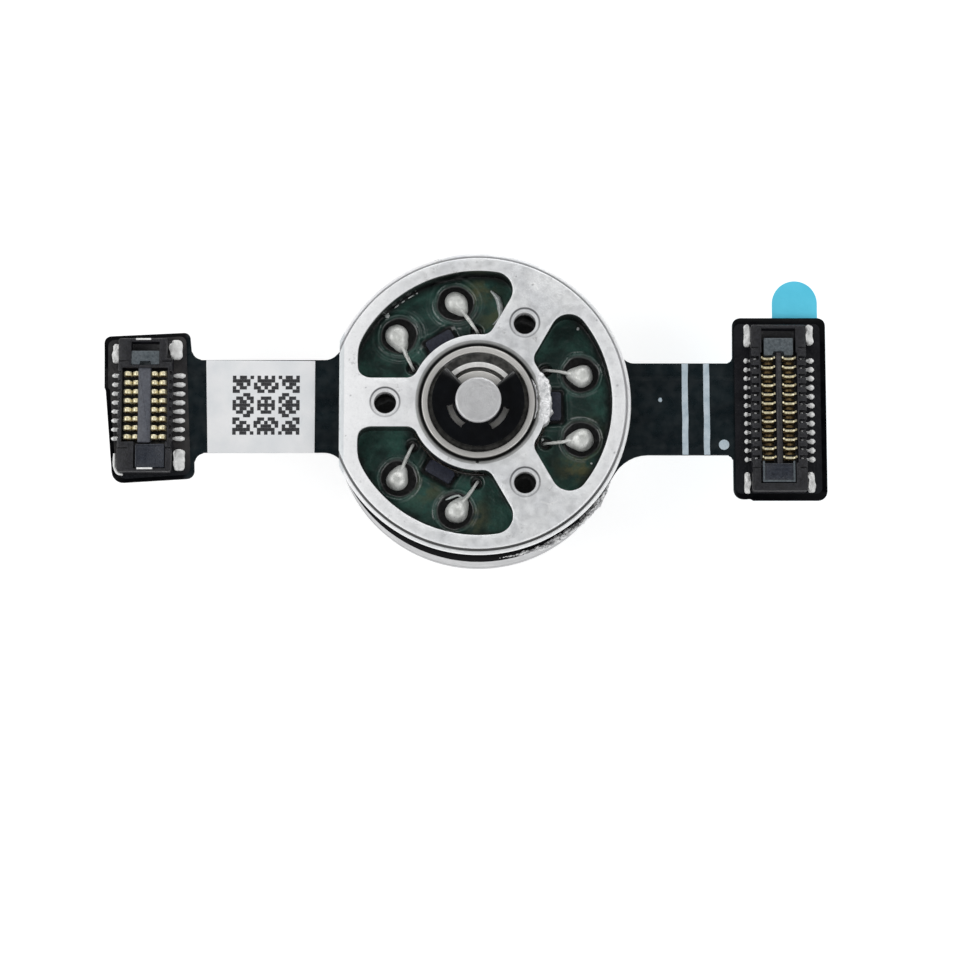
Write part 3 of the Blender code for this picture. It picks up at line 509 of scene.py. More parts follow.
class Look:
    """A Principled material whose textures are measured in millimetres."""

    def __init__(self, name, roughness, metallic=0.0, place="Object"):
        self.material = bpy.data.materials.new(name)
        self.material.use_nodes = True
        self.tree = self.material.node_tree
        self.shader = self.tree.nodes["Principled BSDF"]
        self.use("Roughness", roughness)
        self.use("Metallic", metallic)
        if place == "rest":
            source = self.node("ShaderNodeAttribute", attribute_name="rest").outputs["Vector"]
        else:
            source = self.node("ShaderNodeTexCoord").outputs[place]
        scale = self.node("ShaderNodeVectorMath", operation="SCALE")
        self.tree.links.new(source, scale.inputs[0])
        scale.inputs["Scale"].default_value = 1.0 / MM
        self.place = Value(self, scale.outputs[0])
        self.x, self.y, self.z = self.split(self.place)
        self.normal = None

    def node(self, kind, **settings):
        made = self.tree.nodes.new(kind)
        for key, value in settings.items():
            setattr(made, key, value)
        return made

    def put(self, value, target):
        if isinstance(value, Value):
            self.tree.links.new(value.socket, target)
        elif isinstance(value, tuple):
            target.default_value = (*value, 1.0)
        else:
            target.default_value = value

    def use(self, name, value):
        self.put(value, self.shader.inputs[name])

    def paint(self, colour):
        self.use("Base Color", colour)

    def rough(self, cloud, low, high):
        self.use("Roughness", cloud.between(0.0, 1.0, low, high))

    def coat(self, weight, roughness):
        self.use("Coat Weight", weight)
        self.use("Coat Roughness", roughness)

    def bump(self, height, depth):
        """Adds relief of the given depth in millimetres."""
        made = self.node("ShaderNodeBump")
        made.inputs["Distance"].default_value = depth * MM
        self.put(height, made.inputs["Height"])
        if self.normal:
            self.put(self.normal, made.inputs["Normal"])
        self.normal = Value(self, made.outputs[0])
        self.use("Normal", self.normal)

    def split(self, vector):
        parts = self.node("ShaderNodeSeparateXYZ")
        self.put(vector, parts.inputs[0])
        return [Value(self, part) for part in parts.outputs]

    def distance(self, place=(0.0, 0.0)):
        """Distance from a place on the flat, seen along Z."""
        x, y = self.x - place[0], self.y - place[1]
        return (x * x + y * y).math("SQRT")

    def mapped(self, location=(0.0, 0.0, 0.0), turn=0.0, scale=(1.0, 1.0, 1.0), kind="POINT"):
        mapping = self.node("ShaderNodeMapping", vector_type=kind)
        self.put(self.place, mapping.inputs["Vector"])
        mapping.inputs["Location"].default_value = location
        mapping.inputs["Rotation"].default_value = (0.0, 0.0, turn)
        mapping.inputs["Scale"].default_value = scale
        return Value(self, mapping.outputs[0])

    def grain(self, scale, detail=3.0, low=0.35, high=0.65, stretch=None):
        """Noise from 0 to 1 with about `scale` features to the millimetre."""
        made = self.node("ShaderNodeTexNoise")
        self.put(self.mapped(scale=stretch) if stretch else self.place, made.inputs["Vector"])
        made.inputs["Scale"].default_value = scale
        made.inputs["Detail"].default_value = detail
        return Value(self, made.outputs["Fac"]).between(low, high)

    def stroke(self, start, stop, width):
        """1 on a scratch between two places on a flat face, falling to 0 at its sides."""
        start, stop = Vector(start), Vector(stop)
        along = stop - start
        half = along.length / 2
        middle = (*((start + stop) / 2), 0.0)
        x, y, _ = self.split(self.mapped(middle, math.atan2(along.y, along.x), kind="TEXTURE"))
        return abs(x).between(half + width, half - width / 2) * abs(y).between(width, width * 0.3)

    def mix(self, share, a, b, blend="MIX"):
        made = self.node("ShaderNodeMix", data_type="RGBA", blend_type=blend)
        for value, index in ((share, 0), (a, 6), (b, 7)):
            self.put(value, made.inputs[index])
        return Value(self, made.outputs[2])

    def ramp(self, value, stops):
        made = self.node("ShaderNodeValToRGB")
        self.put(value, made.inputs[0])
        fill_ramp(made, stops)
        return Value(self, made.outputs[0])

    def attribute(self, name):
        return Value(self, self.node("ShaderNodeAttribute", attribute_name=name).outputs["Fac"])


def grey(level):
    return (level, level, level)


def plate_face(mat, radius, lit_sides):
    """The plate's colour on its faces: cloudy, with burnished marks, specks and stains, painted lighter on
    its left and right sides as painted light, and with painted shade round the bearing seat.
    """
    colour = mat.mix(mat.grain(0.75, 5.0, 0.36, 0.64), (0.86, 0.87, 0.89), (0.97, 0.975, 0.98))
    # painted light: the left and right sides of the plate are painted lighter
    colour = mat.mix(lit_sides, colour, (0.99, 0.99, 1.0))
    chamfer_end = PLATE_FLAT_X + FLAT_CHAMFER
    band = mat.x.between(chamfer_end + 0.01, chamfer_end - 0.03)
    colour = mat.mix(band * 0.75, colour, (0.66, 0.70, 0.72))
    marks = most(*[mat.stroke(*mark) for mark in PLATE_MARKS])
    colour = mat.mix(marks * 0.7, colour, grey(1.0))
    specks = most(*[mat.stroke((x, y), (x + 0.03, y + 0.02), width) for (x, y), width in PLATE_SPECKS])
    colour = mat.mix(specks * 0.7, colour, (0.28, 0.28, 0.29))
    colour = mat.mix(mat.grain(7.0, 4.0, 0.52, 0.70) * 0.25, colour, (0.72, 0.73, 0.74))
    stains = mat.grain(1.5, 5.0, 0.62, 0.70) * mat.grain(9.0, 2.0, 0.45, 0.60)
    colour = mat.mix(stains * 0.45, colour, grey(0.34))
    # painted shade round the bearing seat: a near-black ring in the gap beside the race and a grey, shaded
    # seat chamfer
    mouth = mat.ramp(radius.between(2.50, 2.85), [
        (0.00, grey(0.03)), (0.22, grey(0.03)), (0.36, (0.34, 0.34, 0.33)),
        (0.60, (0.46, 0.46, 0.45)), (0.75, grey(1.0)),
    ])
    return mat.mix(1.0, colour, mouth, "MULTIPLY"), marks


def plate_bores(mat, colour):
    """Adds the tapped holes' dark outlines, painted shade on their walls and a painted highlight on their far
    side.
    """
    bores, lights, outlines = [], [], []
    for angle in ARM_ANGLES:
        centre = polar(SCREW_CIRCLE, angle)
        away = mat.distance(centre)
        bores.append(away.between(SCREW_RADIUS + 0.03, SCREW_RADIUS))
        far_side = (mat.y - centre[1]).between(-0.55, 0.45)
        lights.append(away.between(SCREW_CHAMFER + 0.2, SCREW_CHAMFER + 0.1) * far_side)
        outlines.append(abs(away - (SCREW_CHAMFER + 0.01)).between(0.060, 0.015))
    lit = most(*lights)
    bore = most(*bores) * mat.z.between(PLATE_TOP - 0.10, PLATE_TOP - 0.16)
    colour = mat.mix(most(*outlines) * lit.between(0.0, 1.0, 0.45, 0.95), colour, (0.09, 0.09, 0.10))
    # painted highlight on the far side of each hole's wall, painted near-black shade elsewhere
    bore_wall_light_and_shade = mat.mix(lit.between(0.55, 0.95), grey(0.008), (0.85, 0.85, 0.86))
    # painted shade: near black deeper than half a millimetre down the holes
    depth = mat.z.between(PLATE_TOP - 0.85, PLATE_TOP - 0.50)
    return mat.mix(bore, colour, mat.mix(depth, grey(0.008), bore_wall_light_and_shade)), bore


def plate_metal():
    """Bead-blasted aluminium: bright on its faces, with painted shade on the walls of the windows and tapped
    holes, under the rim's lip and in the groove at the foot of the step.
    """
    mat = Look("plate_metal", 0.42, 0.55)
    radius = mat.distance()
    # painted light: mask of the left and right sides, which are painted lighter and made less metallic
    lit_sides = mat.x.between(-1.5, -5.0) + mat.x.between(4.0, 6.3, 0.0, 0.6)
    colour, marks = plate_face(mat, radius, lit_sides)
    _, _, facing_up = mat.split(Value(mat, mat.node("ShaderNodeNewGeometry").outputs["True Normal"]))
    # painted shade: the walls of the windows are painted dark grey, near black deeper down
    wall = abs(facing_up).between(0.45, 0.30)
    wall *= radius.between(WINDOW_RADIUS + 0.15, WINDOW_RADIUS + 0.10)
    wall *= radius.between(HUB_RADIUS - 0.12, HUB_RADIUS - 0.07)
    deep = mat.z.between(PLATE_TOP - 0.05, PLATE_TOP - 0.45)
    colour = mat.mix(wall, colour, mat.mix(deep, (0.30, 0.31, 0.31), (0.035, 0.040, 0.040)))
    colour, bore = plate_bores(mat, colour)
    step = PLATE_TOP - STEP_DEPTH
    # painted shadow under the rim's lip
    lip_shadow = mat.z.between(step - 0.20, step - 0.26) * radius.between(6.2, 6.3)
    colour = mat.mix(lip_shadow, colour, (0.012, 0.012, 0.013))
    # painted shade in the groove at the foot of the step, darker on the -Y side
    groove = mat.z.between(step + 0.10, step - 0.04)
    groove *= radius.between(PLATE_RADIUS - 0.30, PLATE_RADIUS - 0.27)
    groove *= radius.between(PLATE_RADIUS - 0.12, PLATE_RADIUS - 0.15)
    shadow = mat.y.between(-0.5, -5.0)
    mat.paint(mat.mix(groove, colour, mat.mix(shadow, (0.60, 0.60, 0.61), grey(0.15))))
    dull = most(lip_shadow, groove * shadow * 0.8)
    mat.use("Specular IOR Level", dull.between(0.0, 1.0, 0.5, 0.0))
    satin = mat.grain(3.1, 4.0).between(0.0, 1.0, 0.36, 0.52)
    mat.use("Roughness", mat.mix(wall, satin, grey(0.24)))
    shell = (wall - lit_sides * 0.85).between(-1.0, 1.0, 0.10, 1.0)
    mat.use("Metallic", shell * most(dull, bore).between(1.0, 0.0))
    mat.bump(mat.grain(0.9, 2.0), 0.022)
    mat.bump(mat.grain(11.0, 4.0), 0.0035)
    mat.bump(marks, 0.004)
    return mat


def filed_metal():
    mat = Look("filed_metal", 0.34, 0.40)
    flecks = mat.grain(5.0, 3.0, 0.36, 0.56)
    mat.paint(mat.mix(flecks, (0.60, 0.61, 0.62), (0.98, 0.98, 0.99)))
    mat.rough(flecks, 0.48, 0.30)
    mat.bump(mat.grain(4.0, 3.0), 0.018)
    return mat


def can_metal():
    """Turned steel can; near its open rim the wall is painted near black, as shade under the plate."""
    mat = Look("can_metal", 0.40, 0.8)
    rings = mat.grain(1.0, 2.0, 0.3, 0.7, (0.4, 0.4, 26.0))
    colour = mat.mix(mat.grain(0.7, 3.0), (0.44, 0.44, 0.45), (0.56, 0.56, 0.57))
    colour = mat.mix(rings * 0.3, colour, (0.36, 0.36, 0.37))
    # painted shade under the plate: the wall near its open rim is near black, neither shiny nor metallic
    black = (mat.z + mat.grain(3.0, 3.0) * 0.05).between(CAN_SHADE_LINE - 0.02, CAN_SHADE_LINE + 0.04)
    mat.paint(mat.mix(black, colour, (0.012, 0.012, 0.013)))
    mat.rough(mat.grain(5.0), 0.34, 0.48)
    mat.use("Metallic", black.between(0.0, 1.0, 0.8, 0.0))
    mat.use("Specular IOR Level", black.between(0.0, 1.0, 0.5, 0.0))
    mat.bump(rings, 0.004)
    return mat


def turned_steel(name, dark, light, rough, metallic):
    """Steel with the fine concentric lines of turning or grinding; its colour is returned too."""
    mat = Look(name, rough, metallic)
    line = mat.node("ShaderNodeTexNoise", noise_dimensions="1D")
    mat.put(mat.distance(), line.inputs["W"])
    line.inputs["Scale"].default_value = 26.0
    line.inputs["Detail"].default_value = 3.0
    lines = Value(mat, line.outputs["Fac"]).between(0.35, 0.65)
    cloud = mat.grain(2.2, 4.0)
    colour = mat.mix(cloud * 0.5, mat.mix(lines * 0.5, light, dark), dark)
    mat.paint(colour)
    mat.rough(cloud, rough - 0.05, rough + 0.10)
    mat.bump(lines, 0.0015)
    return mat, colour


def bearing_steel():
    mat, colour = turned_steel("bearing_steel", (0.52, 0.51, 0.49), (0.82, 0.80, 0.77), 0.36, 0.45)
    # painted shade: near black beyond r 2.47, where the outer race meets its seat
    mat.paint(mat.mix(mat.distance().between(2.42, 2.47), colour, (0.05, 0.05, 0.048)))
    return mat


def shaft_steel():
    mat, _ = turned_steel("shaft_steel", (0.58, 0.58, 0.59), (0.74, 0.74, 0.75), 0.42, 0.6)
    mat.bump(mat.grain(7.0, 4.0), 0.006)
    return mat


def shield_steel():
    """Pressed steel shield: a painted highlight on its inner lip, with painted shade, near black, on either
    side of it.
    """
    mat = Look("shield_steel", 0.28, 0.2)
    # painted highlight on the inner lip, between painted near-black shade inside and further out
    colour = mat.ramp(mat.distance().between(1.40, 2.20), [
        (0.00, grey(0.02)), (0.17, grey(0.02)), (0.20, (0.92, 0.91, 0.89)), (0.44, (0.98, 0.97, 0.95)),
        (0.47, grey(0.03)), (0.80, (0.03, 0.03, 0.028)), (1.00, grey(0.01)),
    ])
    mat.paint(mat.mix(mat.grain(5.0, 3.0) * 0.2, colour, (0.30, 0.29, 0.27)))
    mat.bump(mat.grain(9.0, 3.0), 0.003)
    return mat


def board_green():
    """Circuit board under clear coating; its craters and holes are marked on the mesh, with painted shade in
    them and a painted highlight on their raised rims.
    """
    mat = Look("board_green", 0.42)
    radius = mat.distance()
    fine = mat.grain(9.0, 3.0)
    colour = mat.mix(mat.grain(0.8, 3.0, 0.38, 0.60), (0.0090, 0.0300, 0.0250), (0.033, 0.106, 0.083))
    colour = mat.mix(fine * 0.25, colour, (0.004, 0.014, 0.012))
    tint = mat.attribute("tint") * mat.grain(1.9, 3.0, 0.38, 0.58)
    colour = mat.mix(tint, colour, (0.115, 0.115, 0.050))
    # painted highlight on the raised rims of the craters and the sensors' moats
    colour = mat.mix(mat.attribute("rim"), colour, (0.026, 0.070, 0.058))
    # painted shade on the board near the window edges, under the plate
    clear_of_edge_shade = radius.between(WINDOW_RADIUS - 0.02, WINDOW_RADIUS - 0.35)
    clear_of_edge_shade *= radius.between(HUB_RADIUS + 0.02, HUB_RADIUS + 0.40)
    colour = mat.mix(clear_of_edge_shade, (0.0015, 0.0030, 0.0030), colour)
    # painted shade, near black, in the craters, wire holes and sensor moats, and where the board shows
    # through the tapped holes
    mat.paint(mat.mix(mat.attribute("pit"), colour, (0.0008, 0.0012, 0.0012)))
    mat.rough(fine, 0.30, 0.55)
    mat.use("Specular IOR Level", 0.25)
    mat.bump(mat.grain(2.6, 2.0), 0.030)
    mat.coat(1.0, 0.05)
    return mat


def winding_copper():
    """Enamelled copper below the board and tinned copper on top of it."""
    mat = Look("winding_copper", 0.30, 0.85)
    turns = mat.grain(2.0, 1.0, 0.3, 0.7, (7.0, 7.0, 7.0))
    copper = mat.mix(turns, (0.30, 0.085, 0.030), (0.52, 0.19, 0.075))
    mat.paint(mat.mix(mat.z.between(BOARD_LOW.z, BOARD_HIGH.z), copper, (0.66, 0.67, 0.64)))
    mat.bump(turns, 0.02)
    return mat


def flex_black():
    """Black coverlay; the copper tracks under it stand out as faint ridges along the strip."""
    mat = Look("flex_black", 0.33, place="rest")
    cloud = mat.grain(0.9, 4.0, stretch=(0.35, 1.2, 1.0))
    colour = mat.mix(cloud, (0.0030, 0.0070, 0.0095), (0.0060, 0.0125, 0.0155))
    heads = most(mat.x.between(11.15, 11.35), mat.x.between(-12.75, -12.95))
    mat.paint(mat.mix(heads, colour, (0.0008, 0.0010, 0.0018)))
    mat.use("Specular IOR Level", heads.between(0.0, 1.0, 0.35, 0.08))
    mat.rough(mat.grain(2.2, 3.0), 0.24, 0.42)
    mat.bump(mat.y.between(1.42, 1.22) - mat.y.between(-0.26, -0.50) + mat.y.between(-1.62, -1.82), 0.016)
    mat.bump(cloud, 0.004)
    mat.bump(mat.grain(20.0, 2.0), 0.001)
    return mat


def laminate():
    mat = Look("stiffener_laminate", 0.5)
    wave = mat.node("ShaderNodeTexWave", wave_type="BANDS")
    mat.put(mat.mapped(turn=math.radians(45.0)), wave.inputs["Vector"])
    wave.inputs["Scale"].default_value = 3.0
    wave.inputs["Distortion"].default_value = 3.0
    weave = Value(mat, wave.outputs["Fac"])
    mat.paint(mat.mix(weave, (0.006, 0.007, 0.008), (0.016, 0.017, 0.019)))
    mat.rough(mat.grain(4.0), 0.38, 0.6)
    mat.bump(weave, 0.004)
    return mat


def core_steel():
    mat = Look("core_laminations", 0.5, 0.8)
    sheets = mat.grain(1.0, 0.0, 0.45, 0.55, (0.02, 0.02, 9.0))
    mat.paint(mat.mix(sheets, (0.09, 0.10, 0.12), (0.24, 0.25, 0.27)))
    mat.bump(sheets, 0.02)
    return mat


def head_mask():
    """Solder resist of the heads: brownish charcoal, lighter on the left head."""
    mat = Look("head_mask", 0.40)
    side = mat.x.between(-1.0, 1.0)
    light = mat.mix(side, (0.048, 0.045, 0.045), (0.009, 0.009, 0.012))
    dark = mat.mix(side, (0.020, 0.020, 0.022), (0.002, 0.002, 0.004))
    colour = mat.mix(mat.grain(1.6, 4.0), dark, light)
    mat.paint(mat.mix(mat.y.between(-1.8, -3.0), colour, (0.006, 0.007, 0.010)))
    mat.use("Specular IOR Level", 0.25)
    mat.bump(mat.grain(7.0, 3.0), 0.010)
    return mat


def toned(name, dark, light, tone, rough, metallic=0.0, wander=None, relief=None, coat=None):
    """Finish between two tones: tone and relief are grains, the latter with its depth at its end."""
    mat = Look(name, rough, metallic)
    mat.paint(mat.mix(mat.grain(*tone), dark, light))
    if wander:
        scale, smoothest, roughest = wander
        mat.rough(mat.grain(scale), smoothest, roughest)
    if relief:
        *grain, depth = relief
        mat.bump(mat.grain(*grain), depth)
    if coat:
        mat.coat(*coat)
    return mat


def clear_glue():
    mat = toned("clear_glue", (0.55, 0.62, 0.60), (0.90, 0.93, 0.92), (5.0,), 0.12, relief=(6.0, 0.02),
                coat=(1.0, 0.05))
    mat.use("Transmission Weight", 0.35)
    return mat


def resin(name, dark, light, rough=0.42):
    """Moulded connector resin with short glass fibres in it."""
    return partial(toned, name, dark, light, (9.0, 4.0, 0.38, 0.66), rough,
                   wander=(5.0, rough - 0.08, rough + 0.12), relief=(16.0, 0.006))


def metal(name, dark, light, rough, metallic=1.0, scale=9.0, depth=0.004):
    """Plated metal with slight staining."""
    return partial(toned, name, dark, light, (scale,), rough, metallic,
                   wander=(scale * 0.6, rough - 0.06, rough + 0.10), relief=(scale * 2.0, depth))


black_steel = partial(toned, "black_spring_steel", (0.0006, 0.0008, 0.0014), (0.0022, 0.0028, 0.0042), (1.2,),
                      0.18, wander=(3.0, 0.10, 0.20), relief=(9.0, 0.0008), coat=(0.6, 0.05))
chip_resin = partial(toned, "chip_resin", (0.008, 0.010, 0.022), (0.020, 0.024, 0.044), (12.0,),
                     0.42, relief=(24.0, 0.004), coat=(0.5, 0.12))
solder_metal = partial(toned, "solder", (0.68, 0.69, 0.66), (0.93, 0.94, 0.91), (3.2, 4.0),
                       0.34, 0.25, wander=(3.0, 0.26, 0.42), relief=(5.0, 0.010))
label_paper = partial(toned, "label_paper", (0.77, 0.79, 0.81), (0.88, 0.88, 0.89), (0.7, 4.0),
                      0.55, relief=(13.0, 4.0, 0.004))
print_black = partial(toned, "print_black", (0.012, 0.012, 0.014), (0.045, 0.045, 0.050), (14.0,), 0.6)
print_white = partial(toned, "print_white", (0.40, 0.49, 0.55), (0.54, 0.62, 0.68), (3.0,),
                      0.5, relief=(12.0, 0.006))
liner_blue = partial(toned, "liner_blue", (0.105, 0.66, 0.90), (0.130, 0.71, 0.95), (0.8,),
                     0.42, relief=(3.0, 0.008), coat=(0.3, 0.2))
adhesive_film = partial(toned, "adhesive_film", (0.50, 0.50, 0.46), (0.70, 0.70, 0.66), (6.0,),
                        0.55, relief=(10.0, 0.01))
connector_resin = resin("connector_resin", (0.003, 0.003, 0.005), (0.013, 0.013, 0.018))
tongue_resin = resin("tongue_resin", (0.058, 0.062, 0.078), (0.095, 0.102, 0.125))
cap_resin = resin("cap_resin", (0.060, 0.074, 0.084), (0.115, 0.135, 0.150), 0.32)
end_resin = resin("end_resin", (0.010, 0.013, 0.022), (0.026, 0.032, 0.046), 0.34)
spine_resin = resin("spine_resin", (0.005, 0.005, 0.007), (0.018, 0.016, 0.022))
insulator_resin = resin("insulator_resin", (0.50, 0.47, 0.38), (0.72, 0.69, 0.58), 0.5)
contact_gold = metal("contact_gold", (0.80, 0.70, 0.42), (0.98, 0.92, 0.68), 0.30, 0.55)
# darker copy of the contact metal: painted shade for the parts deep in the trench
contact_bronze_shaded = metal("contact_bronze_shaded", (0.09, 0.055, 0.020), (0.26, 0.18, 0.080), 0.38, 0.7)
tin_plate = metal("tin_plate", (0.84, 0.84, 0.83), (1.0, 1.0, 0.99), 0.30, 0.0, 5.0, 0.012)
loose_residue = metal("loose_residue", (0.34, 0.34, 0.35), (0.90, 0.90, 0.90), 0.36, 0.35, 3.0, 0.02)
magnet_nickel = metal("magnet_nickel", (0.34, 0.33, 0.31), (0.56, 0.55, 0.52), 0.30, 1.0, 3.0)
back_iron = metal("back_iron", (0.16, 0.16, 0.17), (0.32, 0.32, 0.33), 0.45, 1.0, 4.0, 0.01)

LOOKS = {}


def look(maker):
    """The material a function makes, made once."""
    if maker not in LOOKS:
        LOOKS[maker] = maker().material
    return LOOKS[maker]


def dress(maker, *nodes):
    """Gives CAD nodes that stay visible their finish."""
    for name in nodes:
        for item in frame["nodes"][name].material_slots:
            item.material = look(maker)


# Mounting plate and what sits in its hub


def hole_tool(angle, face, outward, depth):
    """Cutter for a countersunk hole that runs into a face from its outer side."""
    slope = SCREW_CHAMFER - SCREW_RADIUS
    profile = [(0.0, 0.2), (SCREW_CHAMFER + 0.2, 0.2), (SCREW_RADIUS, -slope),
               (SCREW_RADIUS, -depth), (0.0, -depth)]
    tool = turned([(radius, face + outward * height) for radius, height in profile], 48)
    return moved(tool, (*polar(SCREW_CIRCLE, angle), 0.0))


def make_plate():
    """Round plate with a stepped rim, three windows, three tapped holes, a flat and the bearing sleeve."""
    seat = span("upper_bearing_outer_ring")[1].x + 0.02
    bearing_low = PLATE_TOP - BEARING_WIDTH
    lower_bearing_high = span("lower_bearing_outer_ring")[1].z
    step = PLATE_TOP - STEP_DEPTH
    under = PLATE_TOP - FLANGE_THICKNESS
    face = PLATE_RADIUS - STEP_WIDTH
    profile = rounded([
        (seat + SEAT_CHAMFER, PLATE_TOP, 0.03),
        (face, PLATE_TOP, 0.07),
        (face, step - GROOVE_DEPTH, 0.02),
        (face + 0.07, step - GROOVE_DEPTH, 0.02),
        (face + 0.10, step, 0.03),
        (PLATE_RADIUS, step - 0.02, 0.10),
        (PLATE_RADIUS, step - 0.24, 0.05),
        (PLATE_RADIUS - UNDERCUT, step - 0.32, 0.04),
        (PLATE_RADIUS - UNDERCUT, under, 0.08),
        (SLEEVE_RADIUS, under, 0.10),
        (SLEEVE_RADIUS, PLATE_LOW.z, 0.05),
        (seat, PLATE_LOW.z, 0.05),
        (seat, lower_bearing_high + 0.02, 0.0),
        (SHOULDER_RADIUS, lower_bearing_high + 0.02, 0.0),
        (SHOULDER_RADIUS, bearing_low - 0.02, 0.0),
        (seat, bearing_low - 0.02, 0.0),
        (seat, PLATE_TOP - SEAT_CHAMFER, 0.02),
    ], 4)
    low, high = under - 0.3, PLATE_TOP + 0.3
    windows = joined([slab(window_outline(angle), low, high) for angle in WINDOW_ANGLES])
    holes = joined([hole_tool(angle, PLATE_TOP, 1, FLANGE_THICKNESS + 0.2) for angle in ARM_ANGLES])
    nick = moved(slab(ring(0.07, 16), PLATE_TOP - 0.25, high), (-0.04, -2.62, 0.0))
    body = carved(turned(profile), [windows, holes, nick], edge=0.055)
    trimmed(body, (PLATE_FLAT_X, 0.0, 0.0), (-1.0, 0.0, 0.0))
    trimmed(body, (PLATE_FLAT_X + FLAT_CHAMFER, 0.0, PLATE_TOP), (-FLAT_CHAMFER_DROP, 0.0, FLAT_CHAMFER))
    item = piece("plate_body", body, plate_metal, "stator", ["mounting_plate"])
    item.modifiers.new("even_shading", "WEIGHTED_NORMAL").keep_sharp = True


def make_filed_edge():
    """The hub's edge in the right-hand window, filed back and left rough and bright."""
    upper, lower = [], []
    rows, columns = 64, 22
    for row in range(rows + 1):
        angle = -24.0 + 54.0 * row / rows
        taper = smooth_step(-24.0, -12.0, angle) * (1.0 - smooth_step(20.0, 30.0, angle))
        reach = HUB_RADIUS - 0.06 + 0.24 * taper
        reach += 0.14 * taper * noise.noise(Vector((angle * 0.21, 3.0, 1.0)))
        top_line, low_line = [], []
        for column in range(columns + 1):
            share = column / columns
            if share < 0.6:
                radius = HUB_RADIUS - 0.36 + (reach - HUB_RADIUS + 0.36) * share / 0.6
                height = PLATE_TOP + 0.012
            else:
                radius = reach + 0.02 * math.sin((share - 0.6) * 4.0)
                height = PLATE_TOP - 0.62 * (share - 0.6) / 0.4
            spot = Vector((*polar(radius, angle), height))
            rough = noise.fractal(spot * 4.6, 0.7, 2.1, 4)
            lift = 0.05 * taper * rough * (0.2 + smooth_step(0.05, 0.45, share))
            radius += 0.6 * lift
            height += lift - 0.05 * smooth_step(0.45, 0.62, share)
            height -= 0.03 * (1.0 - taper) + 0.02 * (1.0 - smooth_step(0.0, 0.12, share))
            top_line.append((*polar(radius, angle), height))
            low_line.append((*polar(min(radius, HUB_RADIUS) - 0.12, angle), min(height, PLATE_TOP) - 0.10))
        upper.append(top_line)
        lower.append(low_line)
    piece("hub_filed_edge", crust(upper, lower), filed_metal, "stator", crease=60.0)


def make_bearing(prefix, shield_up):
    """Both rings of a bearing, and its dished shield where it is seen."""
    races = (("outer", 2.19, 0.05, 0.10, "stator"), ("inner", 1.01, 0.03, 0.06, "rotor"))
    for which, bore, inner_edge, outer_edge, rides_on in races:
        node = f"{prefix}_bearing_{which}_ring"
        low, high = span(node)
        body = turned(rounded([
            (bore, high.z, inner_edge), (high.x, high.z, outer_edge),
            (high.x, low.z, outer_edge), (bore, low.z, inner_edge),
        ], 5), SMALL_DETAIL)
        piece(f"{prefix}_{which}_race", body, bearing_steel, rides_on, [node])
    low, high = span(prefix + "_bearing_shield")
    if not shield_up:
        dress(shield_steel, prefix + "_bearing_shield")
        return
    inner, rim, top = 1.54, high.x, high.z
    body = turned(rounded([
        (inner, top + 0.01, 0.02), (1.75, top + 0.02, 0.03), (1.81, top - 0.06, 0.02),
        (rim - 0.06, top - 0.03, 0.02), (rim, top, 0.0), (rim, low.z, 0.0), (inner, low.z, 0.0),
    ], 3), SMALL_DETAIL)
    name = prefix + "_bearing_shield"
    piece(prefix + "_shield_dished", body, shield_steel, "stator", [name])


def make_clip():
    """Black E-clip: broad ring, open at its mouth, with three prongs in the shaft's groove; two black bands
    in its gaps, next to the shaft, are painted shade.
    """
    low, high = span("retaining_clip")
    start = CLIP_ANGLE - 180.0 + CLIP_MOUTH_HALF
    stop = CLIP_ANGLE + 180.0 - CLIP_MOUTH_HALF
    near, far = CLIP_GAP_SPAN
    outline = arc(CLIP_RADIUS, start, stop, 80)
    edges = [(stop, CLIP_ANGLE + far), (CLIP_ANGLE + near, CLIP_ANGLE - near), (CLIP_ANGLE - far, start)]
    for index, (first, last) in enumerate(edges):
        outline += arc(CLIP_PRONG_RADIUS, first, last, 14)
        if index < 2:
            gap_stop = edges[index + 1][0]
            outline += arc(CLIP_GAP_RADIUS, last, gap_stop, 22)
    body = slab(outline, low.z, high.z, 0.10, 4)
    piece("clip_ring", body, black_steel, "rotor", ["retaining_clip"], crease=50.0)
    # painted shade: black bands in the clip's gaps, next to the shaft, where shade falls
    shade_bands = []
    for middle in (CLIP_ANGLE - (near + far) / 2, CLIP_ANGLE + (near + far) / 2):
        half = (far - near) / 2 + 3.0
        inner, outer = CLIP_SHADE_BAND_RADII
        band = arc(inner, middle - half, middle + half, 20) + arc(outer, middle + half, middle - half, 20)
        shade_bands.append(slab(band, low.z, high.z - 0.06, 0.03, 2))
    piece("clip_shade_bands", joined(shade_bands), black_steel, "rotor", crease=50.0)


def make_shaft():
    low, high = span("shaft")
    groove = (PLATE_TOP, PLATE_TOP + 0.44)
    body = turned(rounded([
        (0.0, high.z, 0.0), (1.0, high.z, 0.10), (1.0, groove[1], 0.02), (0.75, groove[1], 0.0),
        (0.75, groove[0], 0.0), (1.0, groove[0], 0.02), (1.0, low.z, 0.05), (0.0, low.z, 0.0),
    ], 5), SMALL_DETAIL)
    piece("shaft_ground", body, shaft_steel, "rotor", ["shaft"])


# Rotor


